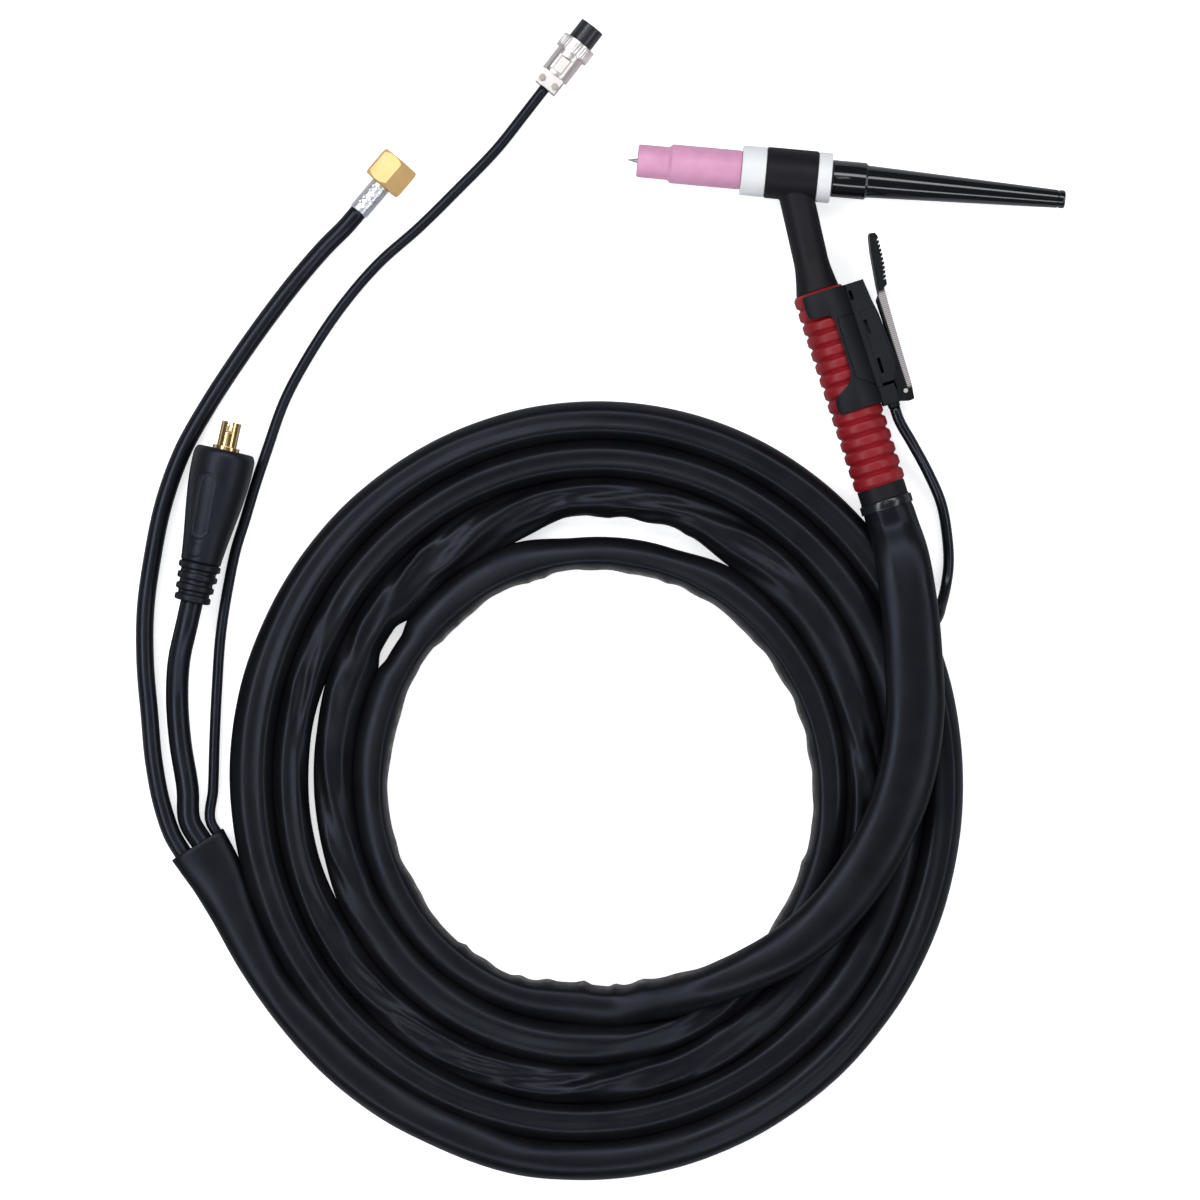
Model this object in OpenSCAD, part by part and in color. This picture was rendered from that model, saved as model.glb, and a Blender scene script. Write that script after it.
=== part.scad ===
/* [Torch head] */
// Outside diameter of the black head cover
head_d = 23.6; // [22:0.1:28]
// Length of the head cover between its two white rings
head_len = 23.8; // [22:0.1:30]
// Outside diameter of the white rings
ring_d = 23; // [20:0.1:27]
// Length of the front white ring
front_ring_len = 11.2; // [8:0.1:14]
// Length of the rear white ring
rear_ring_len = 6.4; // [5:0.1:9]
// Length of the ceramic nozzle
nozzle_len = 48; // [40:1:60]
// Outside diameter of the nozzle
nozzle_d = 18; // [17:0.1:22]
// Outside diameter of the nozzle's nose
nose_d = 15.2; // [14:0.1:17]
// Length of the nozzle's nose
nose_len = 14; // [8:0.5:20]
// Gas bore of the nozzle
nozzle_bore_d = 11; // [10.5:0.1:12]
// Tungsten electrode diameter
electrode_d = 2.4; // [1.6:0.4:2.4]
// Tungsten electrode length
electrode_len = 175; // [150:1:180]
// How far the electrode stands out of the nozzle
stick_out = 4.3; // [2:0.1:8]
// Length of the back cap behind the rear ring
cap_len = 108; // [95:1:130]
// Diameter of the back cap's collar
cap_collar_d = 17; // [16:0.1:20]
// Diameter of the back cap's closed end
cap_end_d = 8.4; // [7:0.1:12]

/* [Neck and handle] */
// Length of the neck from the head axis to the handle
neck_len = 55; // [46:1:70]
// Lean of the neck away from square to the head
neck_angle = 18; // [0:1:25]
// Diameter of the rubber neck
neck_d = 16; // [14:0.1:18]
// Handle length
handle_len = 94; // [85:1:120]
// Lean of the handle away from square to the head
handle_angle = 23; // [15:1:30]
// Diameter over the handle's ribs
rib_d = 24; // [22.5:0.1:26]
// Depth of the grooves between the ribs
groove_depth = 1.4; // [0.8:0.1:1.6]
// Number of ribs on the handle
rib_count = 15; // [10:1:17]
// Bore of the handle
handle_bore_d = 17; // [16.5:0.1:18]

/* [Trigger switch] */
// Wall of the clip that grips the handle
clip_wall = 1.9; // [1.6:0.1:2.5]
// Length of the switch housing along the handle
switch_len = 58.4; // [56:0.1:66]
// Width of the switch housing
switch_w = 13.4; // [12:0.1:15]
// Trigger lever width
lever_w = 16; // [15.8:0.1:20]
// Swing of the trigger lever in degrees
lever_swing = 4; // [1:0.5:4]

/* [Leads] */
// Width of the coiled sheath
sheath_w = 16.4; // [14:0.1:16.6]
// Height of the coiled sheath
sheath_h = 15.5; // [13:0.1:16]
// Step of the coil from loop to loop
coil_pitch = 17.5; // [17:0.1:20]
// Gas hose diameter
hose_d = 8.3; // [7:0.1:8.6]
// Power cable diameter
cable_d = 10.5; // [8:0.1:10.8]
// Control lead diameter
lead_d = 5; // [4:0.1:6]

/* [Connectors] */
// Length of the power plug's rubber sleeve
sleeve_len = 71.6; // [65:0.1:80]
// Largest diameter of the power plug's sleeve
sleeve_d = 28.6; // [26:0.1:34]
// Diameter of the power plug's brass pin
pin_d = 9; // [8:0.1:10]
// Length of the brass pin
pin_len = 11.5; // [9:0.5:13]
// Width across the flats of the gas nut
nut_flats = 18; // [17:0.5:20]
// Length of the gas nut
nut_len = 14.3; // [12:0.1:18]
// Bore of the gas nut's thread
nut_bore_d = 14.4; // [13.4:0.1:15]
// Diameter of the round connector's insert
insert_d = 12; // [10:0.1:15]
// Wall of the round connector's coupling ring
coupling_wall = 1.39; // [1.2:0.01:3]

/* [Hidden] */
$fn = 64;

// Fits
fit = 0.05;          // radial clearance of pieces that sit in one another
slip = 0.3;          // clearance beside faces that swing past each other
turn_fit = 0.06;     // radial clearance of pieces that turn or slide in one another
touch = 0.1;         // gap between flat faces of pieces that turn against each other
cut = 1;             // how far a cutting body runs past what it cuts

// Head, measured along its axis from the middle of the head cover
cover_end = head_len / 2;
nozzle_back = -cover_end - front_ring_len - touch;
nozzle_front = nozzle_back - nozzle_len;
tip_x = nozzle_front - stick_out;
cap_front = cover_end + rear_ring_len + touch;
cap_back = cap_front + cap_len;
core_d = 15;                      // brass head core
core_end = cover_end - 0.4;
thread_d = 14;                    // collet body's thread in the nozzle
thread_len = 14;
body_front = nozzle_front + 10;   // front end of the collet body
body_shank_d = 11;                // collet body's shank in the head core
body_back = -1;
body_tube_d = 8.4;
gas_hole_at = 14;                 // the collet body's four gas holes
gas_hole_d = 1.6;
collet_d = 4.6;
cap_nose_d = 10;                  // back cap's threaded nose
cap_nose_back = 7;
seal_section = 1.8;               // thickness of the cap's sealing ring
ring_bore_d = cap_nose_d + 2 * seal_section + 0.4;
cap_body_d = cap_collar_d - 2.2;
cap_collar_len = 16;
tip_len = 5;                      // ground cone of the electrode

// Neck and handle
tube_d = 8;                       // brass neck tube
tube_bore_d = 5;
knuckle_d = tube_d + 0.6;         // brazed bend where the neck meets the handle
tube_start = 5.8;
flare_len = 12;
flare_d = rib_d - 2.6;
rib_pitch = handle_len / rib_count;
groove_r = 1.23;
adaptor_d = 12;
adaptor_start = 6;
adaptor_end = 44;
boot_len = 12;                    // part of the boot outside the handle
boot_plug_len = 8;                // part of the boot inside the handle
boot_d = rib_d - 1.6;
boot_end = handle_len + boot_len;
tie_w = 4;
tie_wall = 0.7;
conductor_d = 8.4;
inner_hose_d = 6;
conductor_t = -2.6;               // sideways place of the conductor in the handle
inner_hose_t = 4.9;               // sideways place of the hose in the handle

// Frame: the torch lies on its clip, with the origin under the middle of its box
clip_d = rib_d + 2 * clip_wall + 2 * fit;
axis_z = clip_d / 2;
boot_low = boot_end * cos(handle_angle) + boot_d / 2 * sin(handle_angle);
head_x = -(tip_x + cap_back) / 2;
head_y = (neck_len * cos(neck_angle) + boot_low - head_d / 2) / 2;
handle_x = head_x + neck_len * sin(neck_angle);
handle_y = head_y - neck_len * cos(neck_angle);

// Switch, in the handle's frame: s runs down the handle, t out towards the lever
band_start = 1.2;
band_len = 10.6;
band_gap = switch_len - 2 * band_len - 2;
band_reach = 126;                 // half angle of a clip band
saddle_reach = 81;                // half angle of the saddle between the bands
bands_low = band_start + band_len; // lower edge of the top band
bands_end = bands_low + band_gap + band_len;
seat_t = clip_d / 2 + fit;
housing_foot = 6;                 // where the housing's sides start, inside the handle's seat
face_top = seat_t + 7;            // height of the housing's outer face at its top end
face_end = seat_t + 11.2;
step_s = 18.3;                    // where the outer face begins its long slope
clamp_s = switch_len - 7.6;       // top of the lead clamp
switch_end = band_start + switch_len;
pin_s = switch_end - 3.6;         // lever pin
pin_t = seat_t + 10;
pin_r = 1;
plunger_arm = 12;                 // distance from the lever pin to the plunger
plunger_s = pin_s - plunger_arm;
plunger_r = 1.5;
lever_in = seat_t + 12;           // inner face of the lever's top plate
face_mid = lever_in - (pin_s - step_s) * sin(lever_swing) - slip;
plunger_top = lever_in - fit;
micro_len = 20;
micro_s = plunger_s - micro_len / 2 - 4;
micro_w = 6.4;
micro_t = seat_t + 0.9;           // foot of the micro switch
micro_h = 5.8;
cover_t = 1.5;                    // thickness of the switch cover
cover_start = 15;
cover_low = seat_t + 0.9;
cover_high = seat_t + 8.4;
ear_t = seat_t + 6.3;             // underside of the lever's bearing block
cheek_w = (lever_w - switch_w) / 2 - slip;
lead_out_t = seat_t + 3.3;        // where the switch lead leaves its clamp
window_w = 1.2;                   // the snap-fit windows: s, t and length of each
top_window = [6.6, seat_t - 0.4, 4];
cover_windows = [[22.8, seat_t + 2.2, 7], [41.4, seat_t + 2.6, 7]];
clamp_boss = 2;

// Power plug, measured along its axis from the sleeve's foot
plug_at = [-282.3, -149.6];
plug_dir = 82.6;
sleeve_wide = sleeve_len - 6.9;
sleeve_waist = 20;
sleeve_rib_pitch = 5;
barrel_d = 12.4;
barrel_start = 25;
flange_len = 1.6;

// Gas fitting, measured from the nut's back face
nut_at = [-213.1, 49.7];
gas_dir = 54.8;
nut_corner_r = nut_flats / 2 / cos(30);
gas_z = nut_corner_r + 0.2;
ferrule_d = hose_d + 1.1;
ferrule_len = 16.3;
nipple_d = 7;
nipple_collar_d = 12.2;
nut_wall = 2;
nipple_seat = 5.6;

// Round connector, measured along its axis from its cord clamp
connector_at = [-142.2, 101];
connector_dir = 57.4;
socket_d = insert_d + 1.6;        // shell's front, inside the coupling ring
coupling_d = socket_d + 2 * (turn_fit + coupling_wall);
connector_z = coupling_d / 2 + 0.25;
clamp_len = 7.4;
clamp_half = insert_d / 2 - 0.5;  // half the width of the cord clamp
clamp_gap = 0.6;                  // half the gap between its two jaws
clamp_web = 1.6;                  // disc that joins the jaws
clamp_screw_x = 3.6;
shell_len = 12.4;
shell_d = insert_d + 0.9;
coupling_len = 6.4;
insert_out = 9.7;
insert_at = clamp_len + 3;
insert_len = shell_len + coupling_len + insert_out - 3;
insert_step = 0.4;                // the insert is this much thinner inside the shell
contact_ring_d = 6.6;
contact_d = 1.9;
contact_depth = 8;                // depth of the insert's contact holes

// Coil, wound clockwise from its inner loop
coil_x = -89;
coil_y = -218.5;
coil_first_r = 101.5;
coil_turns = 4;
coil_oval = 3.6;                  // how much taller than wide the loops are
coil_left = 3.6;                  // how far the loops lean to the left
coil_up = 3.4;                    // how far they lean up
first_dip = 9;                    // how far the first loop's top lies in
first_tuck = 3.5;                 // how far the first loop's start lies in
loop_rings = 24;
lead_in = 17;                     // straight stretch at each end of the coil

// Routes of the leads: x, y, z, then half the width and half the height there
mouth = [-270, -261];
mouth_out = [-0.6, 0.8];          // the way the sheath's mouth faces
mouth_side = [0.8, 0.6];
mouth_half_w = 14;
mouth_half_h = 5.5;
mouth_hose = -7.9;                // places of the leads across the mouth
mouth_cable = 2.3;
mouth_lead = 10.2;
run_points = [[40, -97, 22.4, 12.4, 7.2], [45.5, -119, 24.6, 13, 7.2], [50, -144, 24, 13.4, 7.2],
  [53, -169, 24, 13.6, 7.2], [52.5, -192, 24, 13.4, 7.2], [48, -216, 24, 13, 7.2],
  [39, -239, 24, 12.6, 7.2], [26, -261, 24, 12, 7.2], [9.5, -279.5, 24, 11, 7.4],
  [-11, -293.5, 24.6, 9.6, 7.6], [-33, -304.5, 22.2, 8.4, 7.7], [-45, -309, 17.5, 8.2, 7.7],
  [-57, -312.5, 12.5, 8.2, 7.7]];
tail_points = [[-140, -383.5], [-171, -371.5], [-197, -355], [-220, -334]];
tail_wide = [[-240, -308, 7, 9.4, 7], [-252, -288, 6.4, 11, 6.4], [-260.4, -273.8, 5.8, 12.8, 5.8]];
hose_points = [[-287.5, -246], [-293.5, -226], [-298, -202], [-302, -179], [-304, -155],
  [-303, -131], [-300, -105], [-293, -78], [-284, -55], [-273, -33], [-260, -11]];
hose_rise = [[-245, 11.5, 6], [-232, 24.5, 9]];
cable_points = [[-277, -236], [-282.5, -214]];
cable_rise = [[-285.5, -195, 6.5], [-286, -177, 10.5]];
lead_points = [[-265.5, -235], [-267, -211], [-268, -188], [-268.5, -164], [-267, -140],
  [-265, -123], [-262, -109], [-259, -94], [-255, -77], [-248.5, -52], [-239, -30],
  [-227, -8], [-211, 14.5], [-194.5, 32], [-178, 51.5]];
lead_rise = [[-161, 72.5, 4], [-150, 89, 7]];
switch_lead_points = [[41, -46.5, 12.5], [50, -59.5, 8], [57.5, -73, 4.5], [61.5, -87, 3],
  [63.5, -101, 3], [63, -111, 5], [61.5, -119, 10.5], [60, -125, 16.5], [56.5, -131, 21]];

// The routes are measured from a torch of the chosen sizes, and move with the handle's end
boot_at = [32.9634, -78.6527];
lay = [handle_x + boot_end * sin(handle_angle), handle_y - boot_end * cos(handle_angle)] - boot_at;
function laid(points) = [for (p = points)
  [for (i = [0 : len(p) - 1]) i < 2 ? p[i] + lay[i] : p[i]]];

// Vector helpers
function unit(v) = v / norm(v);
function flat(v) = [v[0], v[1], 0];
function at_handle(s, t) = [handle_x + s * sin(handle_angle) + t * cos(handle_angle),
  handle_y - s * cos(handle_angle) + t * sin(handle_angle), axis_z];
function heading(angle) = [cos(angle), sin(angle), 0];
handle_down = heading(handle_angle - 90);

// A swept tube: one ring of points at each stop, square to the way the tube runs there
function tangents(p, first, last) = [for (i = [0 : len(p) - 1])
  i == 0 ? unit(first) : i == len(p) - 1 ? unit(last) : unit(p[i + 1] - p[i - 1])];
function ring_points(c, t, half_w, half_h, sides, turn) =
  let (side = unit(cross(t, [0, 0, 1])), up = cross(side, t))
  [for (k = [0 : sides - 1]) let (a = turn + 360 * k / sides)
    c + half_w * cos(a) * side + half_h * sin(a) * up];
function cap_faces(sides, base, back) = [for (k = [1 : sides - 2])
  back ? [base, base + k + 1, base + k] : [base, base + k, base + k + 1]];
function wall_faces(rings, sides) = [for (i = [0 : rings - 2]) for (k = [0 : sides - 1])
  let (a = i * sides + k, b = i * sides + (k + 1) % sides) each
  [[a, b, b + sides], [a, b + sides, a + sides]]];

module swept_tube(stops, first, last, sides, turn) {
  centres = [for (p = stops) [p[0], p[1], p[2]]];
  ways = tangents(centres, first, last);
  rings = len(stops);
  polyhedron(
    points = [for (i = [0 : rings - 1])
      each ring_points(centres[i], ways[i], stops[i][3], stops[i][4], sides, turn)],
    faces = concat(cap_faces(sides, 0, true), wall_faces(rings, sides),
      cap_faces(sides, (rings - 1) * sides, false)));
}

// Half sizes that put the flats of an eight-sided tube on the tube's own width
half_side = 22.5;
octagon = 1 / cos(half_side);
function eight(p) = [p[0], p[1], p[2], p[3] * octagon, p[4] * octagon];
module octagon_tube(stops, first, last) {
  swept_tube([for (p = stops) eight(p)], first, last, 8, half_side);
}

// Coil: the loops spiral out at a steady step, a little taller than wide
function coil_radius(t, a) = coil_first_r + coil_pitch * t - coil_oval * cos(2 * a)
  - coil_left * cos(a) + coil_up * sin(a)
  - (t < 1 ? first_dip * pow(sin(180 * t), 6) + first_tuck * pow(1 - t, 2) : 0);
function coil_at(t) = let (a = -90 - 360 * t, r = coil_radius(t, a))
  [coil_x + lay[0] + r * cos(a), coil_y + lay[1] + r * sin(a), sheath_h / 2];
coil_line = concat([coil_at(0) + [lead_in, 0, 0]],
  [for (i = [0 : coil_turns * loop_rings]) coil_at(i / loop_rings)],
  [coil_at(coil_turns) - [lead_in, 0, 0]]);
coil_last = len(coil_line) - 1;
function off_segment(p, a, b) = let (d = b - a, f = max(0, min(1, (p - a) * d / (d * d))))
  norm(p - a - f * d);
coil_gap = min([for (i = [0 : coil_last]) for (j = [0 : coil_last - 1])
  if (abs(i - j) > loop_rings / 2) off_segment(coil_line[i], coil_line[j], coil_line[j + 1])])
  - sheath_w;
function line_length(p) = len(p) < 2 ? 0 : [for (i = 0, s = 0; i < len(p); i = i + 1,
  s = s + (i < len(p) ? norm(flat(p[i] - p[i - 1])) : 0)) s][len(p) - 1];
echo(coil_least_gap = coil_gap, coil_length = line_length(coil_line));

// Places the next shape so that its z axis runs along the head, from x = at
module along_head(at) {
  translate([head_x, head_y, axis_z]) translate([at, 0, 0]) rotate([0, 90, 0]) children();
}

// The same along the neck, from the head axis
module along_neck(at) {
  translate([head_x, head_y, axis_z]) rotate([0, 0, neck_angle - 90])
    translate([at, 0, 0]) rotate([0, 90, 0]) children();
}

// The handle's frame: x down the handle, y towards the lever
module in_handle() {
  translate([handle_x, handle_y, axis_z]) rotate([0, 0, handle_angle - 90]) children();
}

module along_handle(s, t = 0) {
  in_handle() translate([s, t, 0]) rotate([0, 90, 0]) children();
}

// Along a connector's axis, from its origin on the table
module along_plug(place, height, angle, at) {
  translate([place[0] + lay[0], place[1] + lay[1], height]) rotate([0, 0, angle])
    translate([at, 0, 0]) rotate([0, 90, 0]) children();
}

module pipe(length, outer, inner) {
  difference() {
    cylinder(h = length, d = outer);
    translate([0, 0, -cut]) cylinder(h = length + 2 * cut, d = inner);
  }
}

// Torch head
module tungsten_electrode() {
  color("dimgray") along_head(tip_x) union() {
    cylinder(h = tip_len, d1 = 0.5, d2 = electrode_d);
    translate([0, 0, tip_len]) cylinder(h = electrode_len - tip_len, d = electrode_d);
  }
}

module ceramic_nozzle() {
  seat = thread_len + 1;
  color("pink") along_head(nozzle_front) rotate_extrude() polygon([
    [nozzle_bore_d / 2, 0], [nose_d / 2 - 0.5, 0], [nose_d / 2, 0.5], [nose_d / 2, nose_len],
    [nozzle_d / 2, nose_len + 1.6], [nozzle_d / 2, nozzle_len - 0.4],
    [nozzle_d / 2 - 0.4, nozzle_len], [thread_d / 2 + fit, nozzle_len],
    [thread_d / 2 + fit, nozzle_len - seat], [nozzle_bore_d / 2, nozzle_len - seat - 2]]);
}

module front_ring() {
  color("white") along_head(-cover_end - front_ring_len) rotate_extrude() polygon([
    [body_shank_d / 2 + fit, 0], [ring_d / 2 - 0.5, 0], [ring_d / 2, 0.5],
    [ring_d / 2, front_ring_len - fit], [body_shank_d / 2 + fit, front_ring_len - fit]]);
}

module collet_body() {
  thread_at = nozzle_back - thread_len - body_front;
  shank_at = nozzle_back - body_front;
  length = body_back - body_front;
  color("goldenrod") along_head(body_front) difference() {
    union() {
      cylinder(h = thread_at, d = body_tube_d);
      translate([0, 0, thread_at]) cylinder(h = thread_len, d = thread_d);
      translate([0, 0, shank_at - cut]) cylinder(h = length - shank_at + cut, d = body_shank_d);
    }
    translate([0, 0, 3]) cylinder(h = length, d = collet_d + 2 * fit);
    translate([0, 0, -cut]) cylinder(h = length, d = electrode_d + 0.3);
    for (a = [0 : 90 : 270])
      rotate([0, 90, a]) translate([-gas_hole_at, 0, 0]) cylinder(h = body_tube_d, d = gas_hole_d);
  }
}

module collet() {
  slit_w = 0.5;
  slit_len = 20;
  length = body_back - body_front - 3.5;
  color("peru") along_head(body_front + 3.2) difference() {
    cylinder(h = length, d = collet_d);
    translate([0, 0, -cut]) cylinder(h = length + 2 * cut, d = electrode_d + 2 * fit);
    translate([-collet_d, -slit_w / 2, -cut]) cube([2 * collet_d, slit_w, slit_len]);
  }
}

module head_core() {
  color("goldenrod") difference() {
    along_head(-core_end) cylinder(h = 2 * core_end, d = core_d);
    along_head(-core_end - cut)
      cylinder(h = core_end + cut + body_back + 0.3, d = body_shank_d + 2 * fit);
    along_head(-core_end) cylinder(h = 2 * core_end, d = collet_d + 0.4);
    along_head(cap_nose_back - 0.5)
      cylinder(h = core_end - cap_nose_back + 0.5 + cut, d = cap_nose_d + 2 * fit);
    along_neck(3) cylinder(h = core_d, d = tube_d + 2 * fit);
  }
}

module head_cover() {
  color([0.1, 0.1, 0.11]) difference() {
    union() {
      along_head(-cover_end) cylinder(h = head_len, d = head_d);
      along_neck(0) cylinder(h = neck_len - flare_len, d = neck_d);
      along_neck(neck_len - flare_len) cylinder(h = flare_len + 4, d1 = neck_d, d2 = flare_d);
    }
    along_head(-cover_end - cut) cylinder(h = head_len + 2 * cut, d = core_d + 2 * fit);
    along_neck(0) cylinder(h = neck_len + 4 * cut, d = tube_d + 2 * fit);
    along_head(cover_end) cylinder(h = rear_ring_len, d = ring_d + 2 * slip);
    along_handle(0) sphere(d = knuckle_d + 2 * slip);
    in_handle() translate([-fit, -rib_d, -rib_d]) cube(2 * rib_d);
  }
}

module rear_ring() {
  color("white") along_head(cover_end + fit) rotate_extrude() polygon([
    [ring_bore_d / 2, 0], [ring_d / 2, 0], [ring_d / 2, rear_ring_len - fit - 0.5],
    [ring_d / 2 - 0.5, rear_ring_len - fit], [ring_bore_d / 2, rear_ring_len - fit]]);
}

module cap_seal() {
  color("black") along_head(cap_front - seal_section / 2 - fit)
    rotate_extrude() translate([cap_nose_d / 2 + fit + seal_section / 2, 0])
      circle(d = seal_section, $fn = 32);
}

module back_cap() {
  nose_len = cap_front - cap_nose_back;
  length = cap_back - cap_nose_back;
  color([0.05, 0.05, 0.06]) along_head(cap_nose_back) rotate_extrude() polygon([
    [electrode_d / 2 + 0.6, 0], [cap_nose_d / 2, 0], [cap_nose_d / 2, nose_len],
    [cap_collar_d / 2 - 0.4, nose_len], [cap_collar_d / 2, nose_len + 0.4],
    [cap_collar_d / 2, nose_len + cap_collar_len], [cap_body_d / 2, nose_len + cap_collar_len + 1],
    [cap_end_d / 2, length - 0.6], [cap_end_d / 2 - 0.6, length], [0, length],
    [0, length - 4], [electrode_d / 2 + 0.6, length - 4.5]]);
}

// Neck and handle
module neck_tube() {
  color("goldenrod") difference() {
    union() {
      along_neck(tube_start) cylinder(h = neck_len - tube_start, d = tube_d);
      along_handle(0) sphere(d = knuckle_d);
      along_handle(0) cylinder(h = adaptor_start + 8, d = tube_d);
    }
    along_neck(0) cylinder(h = neck_len, d = tube_bore_d);
    along_handle(0) sphere(d = tube_bore_d + 0.6);
    along_handle(0) cylinder(h = adaptor_start + 10, d = tube_bore_d);
  }
}

module handle() {
  color("firebrick") along_handle(0) rotate_extrude() difference() {
    translate([handle_bore_d / 2, 0]) square([(rib_d - handle_bore_d) / 2, handle_len]);
    for (i = [1 : rib_count - 1])
      translate([rib_d / 2 + groove_r - groove_depth, i * rib_pitch]) circle(r = groove_r, $fn = 32);
  }
}

module power_adaptor() {
  color("goldenrod") along_handle(adaptor_start) difference() {
    cylinder(h = adaptor_end - adaptor_start, d = adaptor_d);
    translate([0, 0, -cut]) cylinder(h = 9 + cut, d = tube_d + 2 * fit);
    cylinder(h = 24, d = tube_bore_d);
    translate([conductor_t, 0, 26]) cylinder(h = adaptor_end, d = tube_bore_d);
  }
}

// The power lead's end inside the handle
module inner_conductor() {
  color("black") along_handle(adaptor_end + fit, conductor_t)
    cylinder(h = boot_end - adaptor_end - 2 * fit, d = conductor_d);
}

module inner_hose() {
  color("black") along_handle(adaptor_end + fit, inner_hose_t)
    pipe(boot_end - adaptor_end - 2 * fit, inner_hose_d, 3);
}

module end_boot() {
  color([0.08, 0.08, 0.09]) difference() {
    union() {
      along_handle(handle_len + fit) cylinder(h = boot_len - fit, d = boot_d);
      along_handle(handle_len - boot_plug_len)
        cylinder(h = boot_plug_len + cut, d = handle_bore_d - 2 * fit);
    }
    along_handle(handle_len - boot_plug_len - cut, conductor_t)
      cylinder(h = boot_len + boot_plug_len + 2 * cut, d = conductor_d + 2 * fit);
    along_handle(handle_len - boot_plug_len - cut, inner_hose_t)
      cylinder(h = boot_len + boot_plug_len + 2 * cut, d = inner_hose_d + 2 * fit);
  }
}

module sheath_tie() {
  color([0.12, 0.12, 0.13]) along_handle(boot_end - tie_w - 1)
    pipe(tie_w, boot_d + 2 * tie_wall, boot_d + 2 * fit);
}

// Trigger switch
module clip_arc(start, length, from, to, inner, wall) {
  along_handle(start) rotate([0, 0, 90 + from]) rotate_extrude(angle = to - from)
    translate([inner, 0]) square([wall, length]);
}

module switch_clip() {
  color([0.13, 0.14, 0.16]) difference() {
    clip_arc(band_start, bands_end - band_start, -band_reach, band_reach,
      rib_d / 2 + fit, clip_wall);
    for (side = [-1, 1])
      clip_arc(bands_low, band_gap, side > 0 ? saddle_reach : -band_reach - 1,
        side > 0 ? band_reach + 1 : -saddle_reach, rib_d / 2 - cut, clip_wall + 2 * cut);
  }
}

module housing_outline() {
  polygon([[band_start, housing_foot], [band_start, face_top], [bands_low, face_top + 1],
    [step_s, face_mid], [clamp_s, face_end], [switch_end, face_end - 1], [switch_end, ear_t],
    [clamp_s, ear_t], [clamp_s, housing_foot]]);
}

module micro_space(gap) {
  translate([micro_s - gap, micro_t - gap, -micro_w / 2 - gap])
    cube([micro_len + 2 * gap, micro_h + 2 * gap, micro_w + 2 * gap]);
}

module cover_outline(gap) {
  polygon([[cover_start - gap, cover_low - gap], [cover_start - gap, cover_high - 0.8 + gap],
    [step_s, cover_high + gap], [clamp_s - 1.2 + gap, cover_high + 1 + gap],
    [clamp_s - 1.2 + gap, cover_low - gap]]);
}

module window(place) {
  translate([place[0] - place[2] / 2, place[1] - window_w / 2, switch_w / 2 - 0.8])
    cube([place[2], window_w, 2]);
}

module switch_housing() {
  color([0.13, 0.14, 0.16]) in_handle() difference() {
    translate([0, 0, -switch_w / 2]) linear_extrude(switch_w) housing_outline();
    translate([-cut, 0, 0]) rotate([0, 90, 0]) cylinder(h = switch_end + 2 * cut, r = seat_t);
    micro_space(fit);
    translate([micro_s - 2, micro_t - fit, 0])
      cube([micro_len + 6, micro_h + 2 * fit, switch_w / 2]);
    translate([0, 0, switch_w / 2 - cover_t - fit]) linear_extrude(cover_t + 1) cover_outline(fit);
    translate([plunger_s, micro_t, 0]) rotate([-90, 0, 0])
      cylinder(h = face_end, r = plunger_r + turn_fit);
    translate([pin_s, pin_t, -switch_w]) cylinder(h = 2 * switch_w, r = pin_r + fit);
    window(top_window);
  }
}

module switch_cover() {
  color([0.13, 0.14, 0.16]) in_handle() difference() {
    translate([0, 0, switch_w / 2 - cover_t]) linear_extrude(cover_t) cover_outline(0);
    for (place = cover_windows)
      window(place);
  }
}

module micro_switch() {
  color("dimgray") in_handle() micro_space(0);
}

module switch_plunger() {
  foot = micro_t + micro_h + 1;
  color("red") in_handle() translate([plunger_s, foot, 0]) rotate([-90, 0, 0]) union() {
    cylinder(h = plunger_top - foot - plunger_r, r = plunger_r);
    translate([0, 0, plunger_top - foot - plunger_r]) sphere(r = plunger_r);
  }
}

module lead_clamp() {
  color([0.16, 0.17, 0.19]) difference() {
    in_handle() union() {
      translate([clamp_s + touch, housing_foot, -switch_w / 2])
        cube([switch_end - clamp_s - touch, ear_t - housing_foot - touch, switch_w]);
      translate([switch_end - cut, lead_out_t, 0]) rotate([0, 90, 0])
        cylinder(h = clamp_boss + cut, d = lead_d + 0.6);
    }
    along_handle(0) cylinder(h = switch_end + cut, r = seat_t);
  }
}

module lever_pin() {
  color("silver") in_handle() translate([pin_s, pin_t, -lever_w / 2])
    cylinder(h = lever_w, r = pin_r);
}

// The lever's outlines, with t from the inner face of its top plate
module lever_side() {
  polygon([[9, 2.6], [9, 0.6], [12, -1.6], [pin_s - 12, -1.6], [pin_s - 7, -4.6],
    [switch_end, -4.6], [switch_end + 1, -1], [switch_end + 1, 0.6], [switch_end - 6, 1.6],
    [22, 2.4]]);
}

module lever_plate() {
  polygon([[-17.8, 4], [-17.4, 6.6], [-15.6, 7.4], [-9, 7.1], [-2, 6.4], [7, 4.7], [8, 3],
    [22, 2.4], [switch_end - 6, 1.6], [switch_end + 1, 0.7], [switch_end + 1, 0], [10, 0],
    [5, 0.4], [-10, 2.4]]);
}

module switch_lever() {
  ridge_w = 0.8;
  color([0.07, 0.07, 0.08]) in_handle() difference() {
    union() {
      translate([0, lever_in, -lever_w / 2]) linear_extrude(lever_w) lever_plate();
      for (side = [-lever_w / 2, lever_w / 2 - cheek_w])
        translate([0, lever_in, side]) linear_extrude(cheek_w) lever_side();
    }
    translate([pin_s, pin_t, -lever_w]) cylinder(h = 2 * lever_w, r = pin_r + fit);
    for (i = [0 : 9])
      translate([-14 + 2 * i, lever_in + 7.2 - 0.03 * i * i, 0])
        cube([ridge_w, 1.6, 2 * lever_w], center = true);
  }
}

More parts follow.
